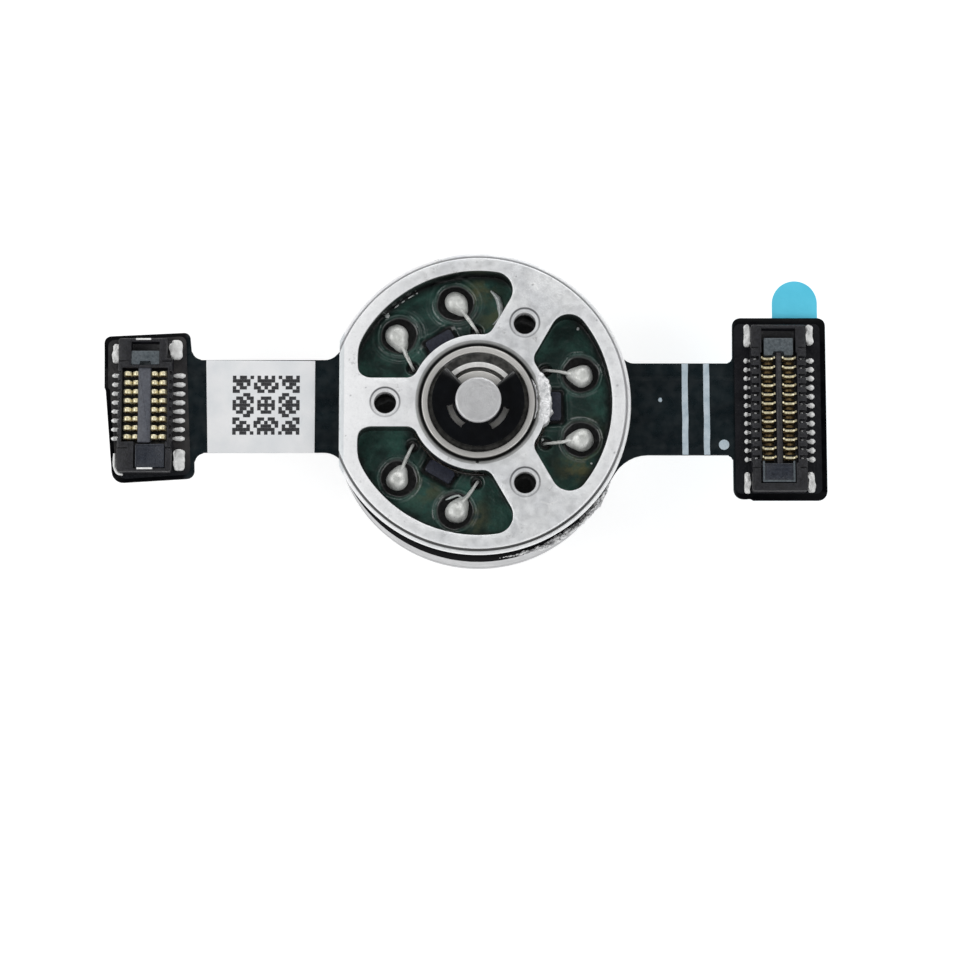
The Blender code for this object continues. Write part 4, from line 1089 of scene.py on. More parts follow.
def make_can():
    low, high = span("rotor_can")
    wall_bore = span("back_iron_ring")[1].x + 0.02
    floor = 0.70
    boss = span("lower_bearing_inner_ring")[0].z - 0.02
    profile = rounded([
        (wall_bore, high.z, 0.06), (high.x, high.z, 0.12), (high.x, 0.95, 0.0), (high.x - 0.05, 0.90, 0.0),
        (high.x - 0.05, 0.78, 0.0), (high.x, 0.73, 0.0), (high.x, low.z, 0.22),
        (5.1, low.z, 0.02), (5.05, low.z + 0.05, 0.0), (4.95, low.z + 0.05, 0.0), (4.90, low.z, 0.02),
        (0.0, low.z, 0.0), (0.0, 0.28, 0.0), (1.01, 0.28, 0.0), (1.01, boss, 0.02), (1.33, boss, 0.02),
        (1.33, floor, 0.05), (wall_bore, floor, 0.05),
    ], 5)
    holes = joined([hole_tool(angle, low.z, -1, floor + 0.2) for angle in OUTPUT_ANGLES])
    body = carved(turned(profile), [holes])
    piece("rotor_shell", body, can_metal, "rotor", ["rotor_can"])


def make_residue():
    """Silvery grains of old adhesive that cling round part of the can's open rim."""
    pick = random.Random(SEED)
    can_high = span("rotor_can")[1]
    grains = []
    for _ in range(420):
        angle = 278.0 + 56.0 * pick.random() ** 0.75
        spread = smooth_step(276.0, 305.0, angle) * (1.0 - smooth_step(324.0, 336.0, angle))
        size = 0.025 + (0.03 + 0.13 * pick.random() ** 1.8) * spread
        drop_down = pick.random()
        height = can_high.z + 0.08 - 1.05 * drop_down * (0.3 + 0.7 * spread)
        grain = pebble(1.0, 2, 0.55, 1.7, (angle, height, 0.0), (size * 0.70, size * 1.25, size))
        out = can_high.x + 0.01 + 0.21 * pick.random() * spread * (1.0 - 0.5 * drop_down)
        grains.append(moved(grain, (*polar(out, angle), height), angle))
    piece("rim_residue", joined(grains), loose_residue, "rotor", crease=30.0)


# Circuit board, sensors and solder


def pad_places():
    """Each pad's centre and the foot of its wire at the hub."""
    places = []
    for index in range(6):
        low, high = span(f"solder_joint_{index + 1}")
        window = WINDOW_ANGLES[index // 2]
        side = -1 if index % 2 == 0 else 1
        foot = Vector(polar(LEAD_RADIUS, window + side * LEAD_OFFSET))
        places.append((((low + high) / 2).to_2d(), foot))
    return places


def chip_distance(spot):
    """Distance from the nearest sensor's outline, in millimetres."""
    best = 9.0
    for angle in WINDOW_ANGLES:
        local = Matrix.Rotation(math.radians(-angle), 2) @ spot
        across = abs(local.x - 3.30) - 0.34
        along = abs(local.y) - SENSOR_LENGTH / 2
        outside = math.hypot(max(across, 0.0), max(along, 0.0)) + min(max(across, along), 0.0)
        best = min(best, outside)
    return best


def hump(away, width):
    """Bell curve that is 1 at no distance."""
    return math.exp(-(away / width) ** 2)


def board_relief(spot, pads):
    """Height of the coating at a place, and how much of a pit and of a raised rim is there: the shares of
    painted shade and of painted highlight.
    """
    height = BOARD_HIGH.z + COAT + 0.022 * noise.noise(Vector((*spot, 0.0)) * 0.9)
    height += 0.008 * noise.noise(Vector((*spot, 4.0)) * 3.1)
    pit = rim = 0.0
    for index, (pad, foot) in enumerate(pads):
        wobble = 0.05 * noise.noise(Vector((*(spot - pad).normalized(), index * 2.3)) * 1.4)
        away = (spot - pad).length + wobble
        inside = 1.0 - smooth_step(PIT_RADIUS - 0.14, PIT_RADIUS, away)
        lip = hump(away - PIT_RADIUS - 0.04, 0.045)
        second = hump(away - PIT_RADIUS - 0.30, 0.05) if index in TWICE_RINGED_PADS else 0.0
        height += 0.055 * lip + 0.03 * second
        height -= (height - BOARD_HIGH.z - 0.005) * inside
        hole = 1.0 - smooth_step(0.20, 0.34, (spot - foot).length)
        height -= 0.14 * hole
        pit = max(pit, inside, hole)
        # painted highlight on the crater lips
        rim = max(rim, 0.30 * lip, 0.25 * second)
    chip = chip_distance(spot) + 0.07 * noise.noise(Vector((*spot, 7.0)) * 1.5)
    moat = 1.0 - smooth_step(0.08, 0.28, chip)
    height += 0.025 * hump(chip - 0.34, 0.10)
    height -= (height - BOARD_HIGH.z) * moat
    pit = max(pit, moat)
    rim = max(rim, 0.10 * hump(chip - 0.40, 0.14))
    # painted shade where the board shows through the plate's tapped holes
    for angle in ARM_ANGLES:
        away = (spot - Vector(polar(SCREW_CIRCLE, angle))).length
        pit = max(pit, 1.0 - smooth_step(0.62, 0.75, away))
    return min(height, PLATE_TOP - FLANGE_THICKNESS - 0.02), pit, rim


def make_board():
    """Board under its coating: a crater round each pad, a hole at each wire, a moat round each sensor."""
    pads = pad_places()
    inner, outer = BOARD_BORE + 0.01, BOARD_RADIUS - 0.01
    surface = bmesh.new()
    layers = [surface.verts.layers.float.new(name) for name in ("pit", "rim", "tint")]
    top = []
    for step in range(BOARD_ROWS + 1):
        line = []
        for spot in map(Vector, ring(inner + (outer - inner) * step / BOARD_ROWS, BOARD_COLUMNS)):
            height, pit, rim = board_relief(spot, pads)
            tint = max(amount * hump((spot - Vector(polar(radius, angle))).length, 0.75)
                       for radius, angle, amount in FLUX_STAINS)
            vertex = surface.verts.new((*spot, height))
            for layer, amount in zip(layers, (pit, rim, tint)):
                vertex[layer] = amount
            line.append(vertex)
        top.append(line)
    foot_rings = [[surface.verts.new((*vertex.co.to_2d(), BOARD_LOW.z)) for vertex in line]
                  for line in (top[-1], top[0])]
    skin(surface, [*top, *foot_rings], closed=True)
    piece("board_coated", surface, board_green, "stator", ["circuit_board"], crease=60.0)


def make_sensors():
    for letter, angle in zip("abc", WINDOW_ANGLES):
        node = "hall_sensor_" + letter
        low, high = span(node)
        half = SENSOR_LENGTH / 2
        body = slab(rectangle(3.05, 3.62, -half, half, 0.10, 5), low.z, high.z, 0.06, 3)
        moved(body, angle=angle)
        piece("sensor_chip_" + letter, body, chip_resin, "stator", [node])


def solder_dome(centre, radius, height, low, heading, seed):
    """Lumpy dome of solder, drawn out towards its wire."""
    surface = bmesh.new()
    rows, columns = 12, 36
    rings = []
    for row in range(rows):
        rise = math.radians(90.0 * row / rows)
        loop = []
        for column in range(columns):
            angle = 360.0 * column / columns
            point = max(math.cos(math.radians(angle - heading)), 0.0) ** 7
            wave = noise.noise(Vector((*polar(0.9, angle), seed)))
            reach = radius * (1.0 + 0.10 * wave + 0.50 * point * math.cos(rise) ** 2)
            out = reach * math.cos(rise) ** 0.72
            up = height * math.sin(rise) ** 0.85 * (1.0 - 0.25 * point * math.cos(rise))
            up += 0.025 * noise.noise(Vector((*polar(out * 2.0, angle), seed + 5.0))) * math.sin(rise)
            loop.append(surface.verts.new((*(centre + Vector(polar(out, angle))), low + up)))
        rings.append(loop)
    skin(surface, [*rings, [surface.verts.new((*centre, low + height))]])
    surface.faces.new(list(reversed(rings[0])))
    return surface


def make_solder():
    """Six solder joints, each with the tinned end of a winding wire."""
    shifts = [(0.02, 0.06), (0.05, -0.03), (-0.10, -0.02), (0.06, -0.06), (-0.05, -0.05), (0.04, -0.03)]
    sizes = [0.51, 0.49, 0.49, 0.52, 0.48, 0.50]
    order = [5, 3, 0, 2, 4, 1]
    low = BOARD_HIGH.z
    for index, (pad, foot) in enumerate(pad_places()):
        centre = pad + Vector(shifts[order[index]])
        toward = (foot - centre).normalized()
        heading = math.degrees(math.atan2(toward.y, toward.x))
        radius = sizes[index]
        dome = solder_dome(centre, radius, 0.47, low, heading, index * 3.7)
        start = centre + toward * radius * 0.55
        middle = centre.lerp(foot, 0.66)
        bend = Vector((-toward.y, toward.x)) * 0.03 * (-1) ** index
        wire = tube(smooth_path([
            (*start, low + 0.24), (*(centre + toward * radius * 1.25), low + 0.17),
            (*(middle + bend), low + 0.13), (*foot, low + 0.09), (*(foot + toward * 0.10), low - 0.22),
        ]), (0.10, 0.085, 0.066, 0.064, 0.064), 12)
        name = f"solder_joint_{index + 1}"
        piece(f"solder_blob_{index + 1}", joined([dome, wire]), solder_metal, "stator",
              [name], crease=70.0)


def make_glue():
    """Beads and streaks of clear glue left in the windows."""
    level = BOARD_HIGH.z + COAT
    streak = smooth_path([polar(5.22, 84.0), polar(4.92, 80.0), polar(4.50, 77.5), polar(4.10, 76.5),
                          polar(3.72, 80.0)])
    beads = [tube([(*p, level + 0.03) for p in streak], (0.03, 0.13, 0.15, 0.09, 0.03), 10)]
    squiggle = smooth_path([polar(4.36, -109.0), polar(4.16, -106.0), polar(4.02, -102.5),
                            polar(4.10, -99.5), polar(3.90, -97.0)])
    beads.append(tube([(*p, level + 0.05) for p in squiggle], (0.02, 0.06, 0.04, 0.05, 0.02), 10))
    rim = WINDOW_RADIUS - 0.06
    for start, stop in ((134.4, 133.2), (130.0, 127.6), (126.0, 124.4), (122.6, 119.6), (118.6, 117.6)):
        path = [(*polar(rim, start + (stop - start) * share / 4), level + 0.04) for share in range(5)]
        beads.append(tube(path, (0.015, 0.035, 0.015), 8))
    for radius, angle, size in ((5.70, 134.6, 0.11), (5.60, 38.5, 0.07), (3.16, -27.5, 0.06),
                                (5.55, -27.0, 0.05), (4.0, 142.0, 0.04)):
        bead = pebble(size, 3, 0.25, 9.0, (radius, angle, 0.0), (1.0, 1.0, 0.7))
        beads.append(moved(bead, (*polar(radius, angle), level + 0.03)))
    piece("glue_beads", joined(beads), clear_glue, "stator", crease=60.0)


# Flexible circuit


def remember_rest(surface):
    """Keeps each corner's unbent place, which the material's textures follow."""
    rest = surface.verts.layers.float_vector.new("rest")
    for vertex in surface.verts:
        vertex[rest] = vertex.co * MM


def left_head(inset):
    """Corners of the left head, whose outer edge runs askew and has a small step in it."""
    outer = span("left_flex")[0].x
    return [
        (-12.42 - inset, -3.12 + inset, 0.34), (outer + 0.38 + inset, -3.34 + inset, 0.50),
        (outer + 0.04 + inset, 0.80, 0.0), (outer - 0.05 + inset, 0.90, 0.0),
        (outer - 0.09 + inset, 3.20 - inset, 0.28), (-12.72 - inset, 3.38 - inset, 0.26),
    ]


def make_strip(prefix, side, outline, hinge, flare_x, reaches):
    """One tail of the flexible circuit with its head, in one piece from the board to its end."""
    surface = slab(outline, FLEX_LOW.z, FLEX_HIGH.z, 0.03, 2, both=True)
    cut_up(surface, 0, steps_between(side * flare_x, hinge - side * BEND_REACH, 0.25))
    cut_up(surface, 0, steps_between(hinge - side * BEND_REACH, hinge + side * BEND_REACH, 0.035))
    cut_up(surface, 0, steps_between(hinge + side * BEND_REACH, side * reaches, 0.22))
    cut_up(surface, 1, steps_between(-2.6, 2.6, 0.24))
    remember_rest(surface)
    for vertex in surface.verts:
        away = smooth_step(0.3, 1.5, abs(vertex.co.x - hinge))
        clear = 1.0 - smooth_step(reaches - 1.2, reaches, abs(vertex.co.x))
        swell = noise.noise(Vector((vertex.co.x * 0.45, vertex.co.y * 0.9, side * 3.0)))
        vertex.co.z += 0.014 * away * clear * swell
    item = piece(prefix + "_strip", surface, flex_black, None, [prefix + "_flex"])
    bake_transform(item)
    return item


def make_flexible_circuit():
    core = slab(ring(BOARD_RADIUS - 0.02, 120), FLEX_LOW.z + 0.01, FLEX_HIGH.z - 0.01)
    bore = slab(ring(BOARD_BORE, 96), FLEX_LOW.z - 0.3, FLEX_HIGH.z + 0.3)
    core = carved(core, [bore])
    remember_rest(core)
    piece("flex_ring", core, flex_black, "stator", ["flex_core"])

    hinge = joint_place("left_tail_bend").x
    half = 2.05
    outline = rounded([
        (-5.40, -3.10, 0.0), (-6.30, 0.07 - half, 1.0), (-12.46, 0.07 - half, 0.40), *left_head(0.0),
        (-12.60, half + 0.10, 0.46), (-6.45, half + 0.10, 0.7), (-5.40, 3.30, 0.0),
    ])
    make_strip("left", -1, outline, hinge, 5.6, 12.4)

    hinge = joint_place("right_tail_bend").x
    high = span("right_flex")[1]
    half = 2.0
    inner, head = 11.17, high.y
    foot = -head - 0.15
    outline = rounded([
        (5.40, -STRIP_FLARE, 0.0), (6.50, STRIP_LOW_Y, 1.7), (inner, STRIP_LOW_Y, 0.20),
        (inner, foot + 0.06, 0.42), (11.78, foot + 0.06, 0.0), (11.83, foot + 0.11, 0.0),
        (11.96, foot + 0.09, 0.0), (12.02, foot, 0.03), (high.x - 0.02, foot, 0.40),
        (high.x, head + 0.08, 0.32), (inner + 0.03, head + 0.08, 0.34),
        (inner + 0.01, half, 0.22), (6.55, half, 0.6), (5.40, 3.60, 0.0),
    ])
    make_strip("right", 1, outline, hinge, 5.6, 11.0)


def make_stiffeners():
    for prefix in ("left", "right"):
        low, high = span(prefix + "_stiffener")
        if prefix == "left":
            outline = rounded(left_head(0.04))
        else:
            outline = rectangle(low.x, high.x, low.y, high.y, 0.34, 6)
        body = slab(outline, low.z, high.z, 0.03, 2, both=True)
        name = prefix + "_stiffener"
        piece(prefix + "_backing", body, laminate, prefix + "_tail", [name])


def make_label():
    """Paper label with a symmetrical pattern of small squares in place of the printed code."""
    low, high = span("left_label")
    outline = [(low.x - 0.03, low.y + 0.06), (high.x, low.y + 0.05), (high.x, high.y + 0.05),
               (low.x - 0.14, high.y + 0.08)]
    body = slab(outline, low.z - 0.018, high.z, 0.012, 2)
    cut_up(body, 0, steps_between(low.x + 0.2, high.x - 0.2, 0.3))
    piece("label_sheet", body, label_paper, "left_tail", ["left_label"])
    columns, lines, pitch = 19, 17, 0.155
    centre = Vector((low.x + (high.x - low.x) * 0.54, 0.12))
    bars = []
    for line in range(lines):
        along = abs(line - lines // 2)
        y = centre.y + (line - lines / 2) * pitch
        first = None
        for column in range(columns + 1):
            across = abs(column - columns // 2)
            dark = column < columns and (across * across + along * along + across * along) % 7 in (0, 1, 4)
            if dark and first is None:
                first = column
            if not dark and first is not None:
                x_low, x_high = (centre.x + (edge - columns / 2) * pitch for edge in (first, column))
                bars.append(block((x_low, x_high), (y + 0.002, y + pitch - 0.002),
                                  (high.z - 0.004, high.z + 0.006)))
                first = None
    piece("label_pattern", joined(bars), print_black, "left_tail")


def make_printed_marks():
    """Two assembly lines and a dot printed across the right-hand strip."""
    high = FLEX_HIGH.z
    marks = []
    for start in (8.95, 9.90):
        edge = [(start + 0.015 * noise.noise(Vector((start, y, 0.0))), y)
                for y in steps_between(STRIP_LOW_Y + 0.015, 1.985, 0.12)]
        back = [(x + 0.265 + 0.02 * noise.noise(Vector((9.0, y * 1.3, start))), y)
                for x, y in reversed(edge)]
        marks.append(cut_up(slab(edge + back, high - 0.03, high + 0.022, 0.008, 1), 1,
                            steps_between(-1.9, 1.9, 0.3)))
    marks.append(moved(slab(ring(0.228, 32), high - 0.03, high + 0.022, 0.01, 2), (10.78, -1.63, 0.0)))
    piece("printed_marks", joined(marks), print_white, "right_tail")
    # a small bump on the strip, coloured light as a painted glint
    glint_bump = pebble(0.09, 3, 0.35, 14.0, stretch=(1.0, 1.0, 0.5))
    moved(glint_bump, (8.00, 0.36, high + 0.01))
    piece("strip_glint_bump", glint_bump, print_white, "right_tail", crease=60.0)


def make_adhesive():
    low, high = span("right_adhesive_pad")
    body = slab(rectangle(low.x, high.x, low.y, high.y, 0.12, 4), low.z, high.z, 0.02, 2, both=True)
    piece("adhesive_strip", body, adhesive_film, "right_tail", ["right_adhesive_pad"])
    low, high = span("release_liner")
    half = (high.x - low.x) / 2
    middle = (high.x + low.x) / 2
    tab = arc(half, 0.0, 180.0, 40, (middle, high.y - half))
    outline = [(low.x, low.y), (high.x, low.y), *tab]
    body = moved(slab(outline, low.z, high.z, 0.015, 2, both=True), (0.14, 0.08, 0.0))
    cut_up(body, 1, steps_between(low.y + 0.3, high.y - 0.1, 0.2))
    for vertex in body.verts:
        lift = smooth_step(4.1, high.y, vertex.co.y)
        vertex.co.z += 0.10 * lift * lift
    piece("liner_tab", body, liner_blue, "right_tail", ["release_liner"])


# Connectors: x runs across the rows, y along them, z is above the flexible circuit

PITCH = 0.40
RIGHT_PLACES = {
    "shift": (-0.03, -0.10),               # of the whole connector from its CAD housing
    "trench": 0.80,                        # half-width
    "spine": (-0.12, 0.12),                # its two sides
    "dot": 0.99,                           # where a contact shows in its slot
    "drops": {"b": (1.25, 1.62, 0.25), "a": (1.22, 1.48, 0.22)},     # start, stop and width of the solder
    "drop_shape": (0.25, 0.6, 1.0, 1.02, 0.35),
    "pocket": (0.0, 0.75, 2.42, 3.52),     # middle, half-width, start and stop, as in the next two
    "cap": (0.0, 0.64, 2.34, 3.10),
    "end_block": (-0.05, 0.72, -3.30, -2.46),
    "seam": 2.66,
    "feet": {"b": [(-1.45, -1.20, 2.82, 3.78), (1.29, 1.58, 2.90, 3.78)],     # low and high x, low and high y
             "a": [(-1.50, -1.24, -3.70, -2.78), (1.27, 1.56, -3.66, -2.78)]},
    "straps": {},                          # two ends along x, and y
    "hook": [],                            # path of a foot that is bent round the corner
    "cut": [],                             # corner cut out of the housing
}
LEFT_PLACES = {
    "shift": (-0.08, 0.03),
    "trench": 1.00,
    "spine": (-0.29, 0.25),
    "dot": None,
    "drops": {"b": (1.20, 1.70, 0.25), "a": (1.14, 1.52, 0.22)},
    "drop_shape": (0.45, 0.8, 0.85, 0.95, 0.40),
    "pocket": (0.0, 0.62, 1.76, 2.80),
    "cap": (0.0, 0.62, 1.78, 2.40),
    "end_block": (0.26, 0.64, -2.78, -1.74),
    "seam": 1.92,
    "feet": {"b": [(-1.50, -1.22, 1.96, 2.80), (1.00, 1.54, 2.12, 2.98)],
             "a": [(1.24, 1.72, -2.82, -1.90)]},
    "straps": {"b": (-0.42, 0.24, 2.91), "a": (-0.30, 0.38, -2.82)},
    "hook": [(-1.36, -2.06), (-1.36, -2.46), (-1.33, -2.72), (-1.20, -2.93), (-0.98, -3.00)],
    "cut": [(0.93, 1.40, 2.06, 3.20)],
}


def ribbon(path, thickness, y_low, y_high, edge=0.012):
    """Strip of sheet metal that follows an (x, z) path, between two places along Y."""
    path = [Vector(point) for point in path]
    normals = []
    for before, after in zip(path[:1] + path, path[1:] + path[-1:]):
        along = (after - before).normalized()
        normals.append(Vector((-along.y, along.x)) * thickness / 2)
    outline = [point + offset for point, offset in zip(path, normals)]
    outline += [point - offset for point, offset in reversed(list(zip(path, normals)))]
    surface = slab([tuple(point) for point in outline], y_low, y_high)
    turn = Matrix(((1, 0, 0, 0), (0, 0, 1, 0), (0, 1, 0, 0), (0, 0, 0, 1)))
    bmesh.ops.transform(surface, matrix=turn, verts=surface.verts)
    rims = [rim for rim in surface.edges if rim.verts[0].co.y == rim.verts[1].co.y]
    return eased(surface, rims, edge, 2 if edge > 0.02 else 1)


def drop(start, stop, y, width, height, thick):
    """Solder on a contact's tail: its thickness at equal steps from start to stop, as shares of the width."""
    path = [(start + (stop - start) * share / 8, y, 0.0) for share in range(9)]
    fat = width / 2
    surface = tube(path, [fat * share for share in thick], 12)
    for vertex in surface.verts:
        vertex.co.z = max(vertex.co.z * height / fat, 0.0) + 0.015
        vertex.co.y += 0.015 * noise.noise(vertex.co * 6.0)
    return surface


def solder_patch(x_low, x_high, y_low, y_high, height, seed):
    """Soldered foot of a hold-down: a low, uneven pad of tin."""
    outline = rectangle(x_low, x_high, y_low, y_high, (x_high - x_low) * 0.32, 5)
    surface = slab(outline, 0.0, height, height * 0.45, 3)
    cut_up(surface, 1, steps_between(y_low + 0.06, y_high - 0.06, 0.07))
    cut_up(surface, 0, steps_between(x_low + 0.05, x_high - 0.05, 0.06))
    for vertex in surface.verts:
        if vertex.co.z > 0.01:
            spot = vertex.co * 3.4 + Vector((seed, seed * 0.7, 0.0))
            vertex.co.z += 0.11 * noise.fractal(spot, 0.7, 2.0, 3)
            vertex.co.x += 0.07 * noise.noise(spot * 1.1)
    return surface


def contact_tops(prefix, y):
    """The sprung part of one contact, on the +X side."""
    if prefix == "left":
        inner = [(0.290, 0.12), (0.290, 0.50), (0.310, 0.580), (0.355, 0.620), (0.425, 0.620),
                 (0.480, 0.580), (0.505, 0.48), (0.520, 0.16)]
        outer = [(0.620, 0.16), (0.640, 0.47), (0.675, 0.575), (0.730, 0.620), (0.820, 0.620),
                 (0.885, 0.575), (0.915, 0.48), (0.930, 0.12)]
        return [ribbon(path, 0.100, *around(y, 0.100), 0.042) for path in (inner, outer)]
    half_bar = [(0.180, 0.670), (0.215, 0.590), (0.270, 0.545), (0.340, 0.528), (0.460, 0.522)]
    bar = half_bar + [(0.920 - x, z) for x, z in reversed(half_bar[:-1])]
    bent = ribbon(bar, 0.055, *around(y, 0.048))
    for vertex in bent.verts:
        vertex.co.y += 0.035 * smooth_step(0.17, 0.27, abs(vertex.co.x - 0.46))
    return [bent]


def contact_depths(prefix, y):
    """The darker part of a contact that is seen deep in the trench, given a darker bronze colour as painted
    shade.
    """
    if prefix == "left":
        return [block((0.50, 0.66), around(y, 0.08), (0.13, 0.26), 0.02),
                block((0.33, 0.94), around(y, 0.08), (0.12, 0.18), 0.01)]
    bend = [(0.240, 0.30), (0.340, 0.42), (0.460, 0.450), (0.580, 0.42), (0.680, 0.30)]
    return [ribbon(bend, 0.05, *around(y + PITCH / 2, 0.055)),
            block((0.20, 0.72), around(y, 0.06), (0.15, 0.24), 0.01)]


class Connector:
    """One board-to-board connector; its places are measured from the middle of its housing."""

    def __init__(self, prefix, places):
        self.prefix = prefix
        self.places = places
        low, high = span(prefix + "_connector_housing")
        shift_x, shift_y = places["shift"]
        middle = (low + high) / 2
        self.centre = (middle.x + shift_x, middle.y + shift_y)
        self.base = low.z
        self.top = high.z - low.z
        self.half_width, self.half_length = (high.x - low.x) / 2, (high.y - low.y) / 2
        contact_low, contact_high = span(prefix + "_contacts_b")
        count = int((contact_high.y - contact_low.y) / PITCH) + 1
        self.row = [(index - (count - 1) / 2) * PITCH for index in range(count)]

    def put(self, name, surface, finish, slot="connector_resin", replaced=(), crease=38.0):
        moved(surface, (*self.centre, self.base))
        nodes = [f"{self.prefix}_{node}" for node in replaced]
        piece(f"{self.prefix}_{name}", surface, finish, self.prefix + "_tail", nodes, crease)

    def make_shell(self):
        """Housing with its trench, end pockets, seams and a slot for each contact's tail."""
        places, top = self.places, self.top
        trench, trench_end = places["trench"], self.row[-1] + 0.24
        above = top + 0.2
        pocket_x, pocket_half, pocket_start, pocket_stop = places["pocket"]
        end_x, end_half, end_start, end_stop = places["end_block"]
        outline = rectangle(*around(0.0, self.half_width), *around(0.0, self.half_length), 0.10, 4)
        shell = slab(outline, 0.0, top, 0.05, 2)
        wells = [block(around(0.0, trench), around(0.0, trench_end), (0.12, above))]
        for x_low, x_high, y_low, y_high in places["cut"]:
            wells.append(block((x_low, x_high), (y_low, y_high), (0.10, above)))
        slots = []
        for side in (-1, 1):
            for end in (-1, 1):
                wells.append(block((side * (pocket_half + 0.12), side * 2.0),
                                   around(end * places["seam"], 0.03), (top - 0.10, above)))
            for y in self.row:
                slots.append(block((side * (trench + 0.06), side * 1.5), around(y, 0.085), (0.34, above)))
        pockets = [
            block(around(pocket_x, pocket_half), (pocket_start, pocket_stop), (0.15, above)),
            block((end_x - end_half - 0.07, end_x + end_half + 0.03), (end_start - 0.04, end_stop + 0.10),
                  (top - 0.30, above)),
        ]
        shell = carved(shell, [joined(wells), joined(pockets), joined(slots)], edge=0.018)
        self.put("shell", shell, connector_resin, replaced=["connector_housing"])

    def make_inserts(self):
        """The cap, end block and spine that stand in the housing."""
        top, above = self.top, self.top + 0.2
        cap_x, cap_half, cap_start, cap_stop = self.places["cap"]
        cap = block(around(cap_x, cap_half), (cap_start, cap_stop), (0.16, top - 0.03), 0.035, 0.05)
        bite = slab([(cap_x - 0.30, cap_start - 0.1), (cap_x + 0.30, cap_start - 0.1),
                     (cap_x + 0.22, cap_start + 0.16), (cap_x - 0.22, cap_start + 0.16)], top - 0.30, above)
        self.put("cap", carved(cap, [bite]), cap_resin)
        x, half, start, stop = self.places["end_block"]
        plain = block(around(x, half), (start, stop), (top - 0.26, top - 0.02), 0.04, 0.05)
        dish = block(around(x, half - 0.07), (start + 0.07, stop - 0.07), (top - 0.06, above))
        self.put("end_block", carved(plain, [dish], 0.012), end_resin)
        if self.prefix == "right":
            line = block(around(x, half - 0.02), (start + 0.02, stop + 0.10), (top - 0.08, top + 0.005))
            hollow = block(around(x, half - 0.10), (start + 0.10, stop + 0.30), (top - 0.2, above))
            self.put("end_frame", carved(line, [hollow], 0.01), cap_resin)
        spine = block(self.places["spine"], around(0.0, self.row[-1] + 0.26), (0.10, top - 0.05), 0.03, 0.02)
        self.put("spine", spine, tongue_resin if self.prefix == "left" else spine_resin)

    def contact_tail(self, letter, y):
        """A contact's tail with its drop of solder, on the +X side."""
        start, stop, width = self.places["drops"][letter]
        parts = [drop(start, stop, y, width, 0.16, self.places["drop_shape"]),
                 block((self.half_width - 0.10, start + 0.12), around(y, 0.05), (0.0, 0.06), 0.015)]
        dot = self.places["dot"]
        if dot:
            parts.append(block((dot - 0.05, dot + 0.06), around(y, 0.04), (0.30, 0.42), 0.03))
        return parts

    def make_contacts(self):
        shapes = (("springs", contact_tops, contact_gold), ("roots", contact_depths, contact_bronze_shaded))
        for name, maker, finish in shapes:
            parts = []
            for y in self.row:
                parts += maker(self.prefix, y)
                parts += [mirrored(part) for part in maker(self.prefix, y)]
            self.put("contact_" + name, joined(parts), finish, "contact_gold")
        for letter in "ab":
            parts = [part for y in self.row for part in self.contact_tail(letter, y)]
            if letter == "a":
                parts = [mirrored(part) for part in parts]
            self.put("contact_tails_" + letter, joined(parts), tin_plate, "contact_gold",
                     ["contacts_" + letter], 60.0)

    def make_hold_downs(self):
        for letter in "ab":
            feet = [solder_patch(*foot, 0.22, 3.1 * index + self.half_length)
                    for index, foot in enumerate(self.places["feet"][letter])]
            if letter in self.places["straps"]:
                x_low, x_high, y = self.places["straps"][letter]
                heights = (self.top - 0.30, self.top + 0.015)
                feet.append(block((x_low, x_high), around(y, 0.04), heights, 0.015))
            if letter == "a" and self.places["hook"]:
                path = smooth_path([(x, y, 0.07) for x, y in self.places["hook"]])
                feet.append(tube(path, (0.05, 0.075, 0.06, 0.07, 0.04), 12))
            self.put("anchor_" + letter, joined(feet), tin_plate, "hold_down_tin",
                     ["hold_down_" + letter], 60.0)

    def make_mask(self):
        """The opening in the head's coverlay round the connector."""
        outline = rectangle(-1.88, 1.90, -3.70, 3.86, 0.26, 5)
        if self.prefix == "left":
            outline = [(x - self.centre[0], y - self.centre[1]) for x, y in rounded(left_head(0.17), 5)]
        self.put("mask_opening", slab(outline, -0.035, 0.006, 0.004, 1), head_mask, "flex_black")

    def make(self):
        self.make_shell()
        self.make_inserts()
        self.make_contacts()
        self.make_hold_downs()
        self.make_mask()


# Stage

DARK_SKY_TILT = math.radians(10.0)


def make_stage():
    floor_mesh = bpy.data.meshes.new("floor")
    surface = bmesh.new()
    bmesh.ops.create_grid(surface, x_segments=2, y_segments=2, size=1.5)
    surface.to_mesh(floor_mesh)
    surface.free()
    floor = placed("floor", floor_mesh)
    floor.location.z = -0.00002
    paper = bpy.data.materials.new("floor_white")
    paper.use_nodes = True
    shader = paper.node_tree.nodes["Principled BSDF"]
    shader.inputs["Base Color"].default_value = (0.60, 0.60, 0.60, 1.0)
    shader.inputs["Roughness"].default_value = 0.9
    shader.inputs["Specular IOR Level"].default_value = 0.1
    shader.inputs["Emission Color"].default_value = (1.0, 1.0, 1.0, 1.0)
    shader.inputs["Emission Strength"].default_value = 0.66
    floor_mesh.materials.append(paper)


def add_softbox(name, place, aim, width, radiance):
    light = bpy.data.lights.new(name, "AREA")
    light.shape = "SQUARE"
    light.size = width
    light.energy = radiance * math.pi * width * width
    item = placed(name, light)
    item.location = place
    item.rotation_euler = (Vector(aim) - Vector(place)).to_track_quat("-Z", "Y").to_euler()


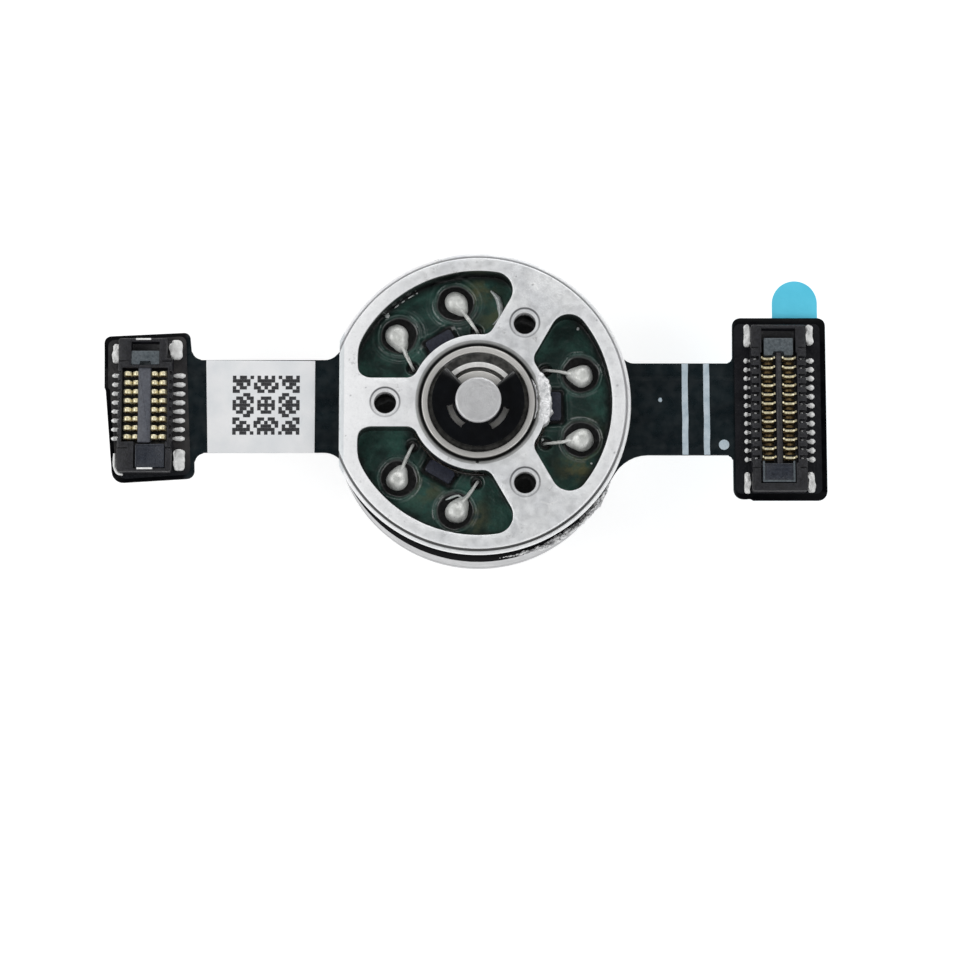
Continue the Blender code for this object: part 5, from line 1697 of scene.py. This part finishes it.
def make_light():
    """Bright surroundings and three softboxes, with a dark patch where the flat tops mirror the sky."""
    aim = (0.0, 0.0, 0.005)
    add_softbox("softbox_left", (-0.24, -0.02, 0.22), aim, 0.20, 1.9)
    add_softbox("softbox_back", (0.05, 0.26, 0.20), aim, 0.20, 1.5)
    add_softbox("softbox_right", (0.22, -0.12, 0.24), aim, 0.16, 1.5)
    world = bpy.data.worlds.new("studio")
    world.use_nodes = True
    tree = world.node_tree
    background = tree.nodes["Background"]
    coords = tree.nodes.new("ShaderNodeTexCoord")
    toward = tree.nodes.new("ShaderNodeVectorMath")
    toward.operation = "DOT_PRODUCT"
    tree.links.new(coords.outputs["Generated"], toward.inputs[0])
    toward.inputs[1].default_value = (0.0, math.sin(DARK_SKY_TILT), math.cos(DARK_SKY_TILT))
    ramp = tree.nodes.new("ShaderNodeValToRGB")
    tree.links.new(toward.outputs["Value"], ramp.inputs[0])
    stops = [(0.0, 0.60), (0.45, 0.80), (0.80, 0.92), (0.93, 0.30), (0.965, 0.07)]
    fill_ramp(ramp, [(position, (level * 0.985, level * 0.995, level)) for position, level in stops])
    tree.links.new(ramp.outputs[0], background.inputs["Color"])
    background.inputs["Strength"].default_value = 0.85
    bpy.context.scene.world = world
    bpy.context.scene.view_settings.view_transform = "Standard"


def make_camera():
    """The photograph's view: nearly square to the plate, tipped back towards the -Y side."""
    sight_tilt = math.radians(10.0)
    axis_tilt = math.radians(8.381)
    distance = 120.0
    camera = bpy.data.cameras.new("camera")
    camera.lens = 103.7
    camera.sensor_width = 36.0
    camera.clip_start = 0.001
    camera.clip_end = 10.0
    item = placed("camera", camera)
    item.location = Vector((
        0.074, -distance * math.sin(sight_tilt), PLATE_TOP + distance * math.cos(sight_tilt)
    )) * MM
    item.rotation_euler = (axis_tilt, 0.0, 0.0)
    bpy.context.scene.camera = item


make_plate()
make_filed_edge()
make_bearing("upper", True)
make_bearing("lower", False)
make_clip()
make_shaft()
make_can()
make_residue()
make_board()
make_sensors()
make_solder()
make_glue()
make_flexible_circuit()
make_stiffeners()
make_label()
make_printed_marks()
make_adhesive()
Connector("left", LEFT_PLACES).make()
Connector("right", RIGHT_PLACES).make()

dress(back_iron, "back_iron_ring")
dress(magnet_nickel, *[f"magnet_{number:02d}" for number in range(1, 13)])
dress(core_steel, "stator_core")
dress(insulator_resin, "upper_insulator", "lower_insulator")
dress(winding_copper, "phase_winding_a", "phase_winding_b", "phase_winding_c")
dress(bearing_steel, "upper_ball_cage", "lower_ball_cage")

make_stage()
make_light()
make_camera()
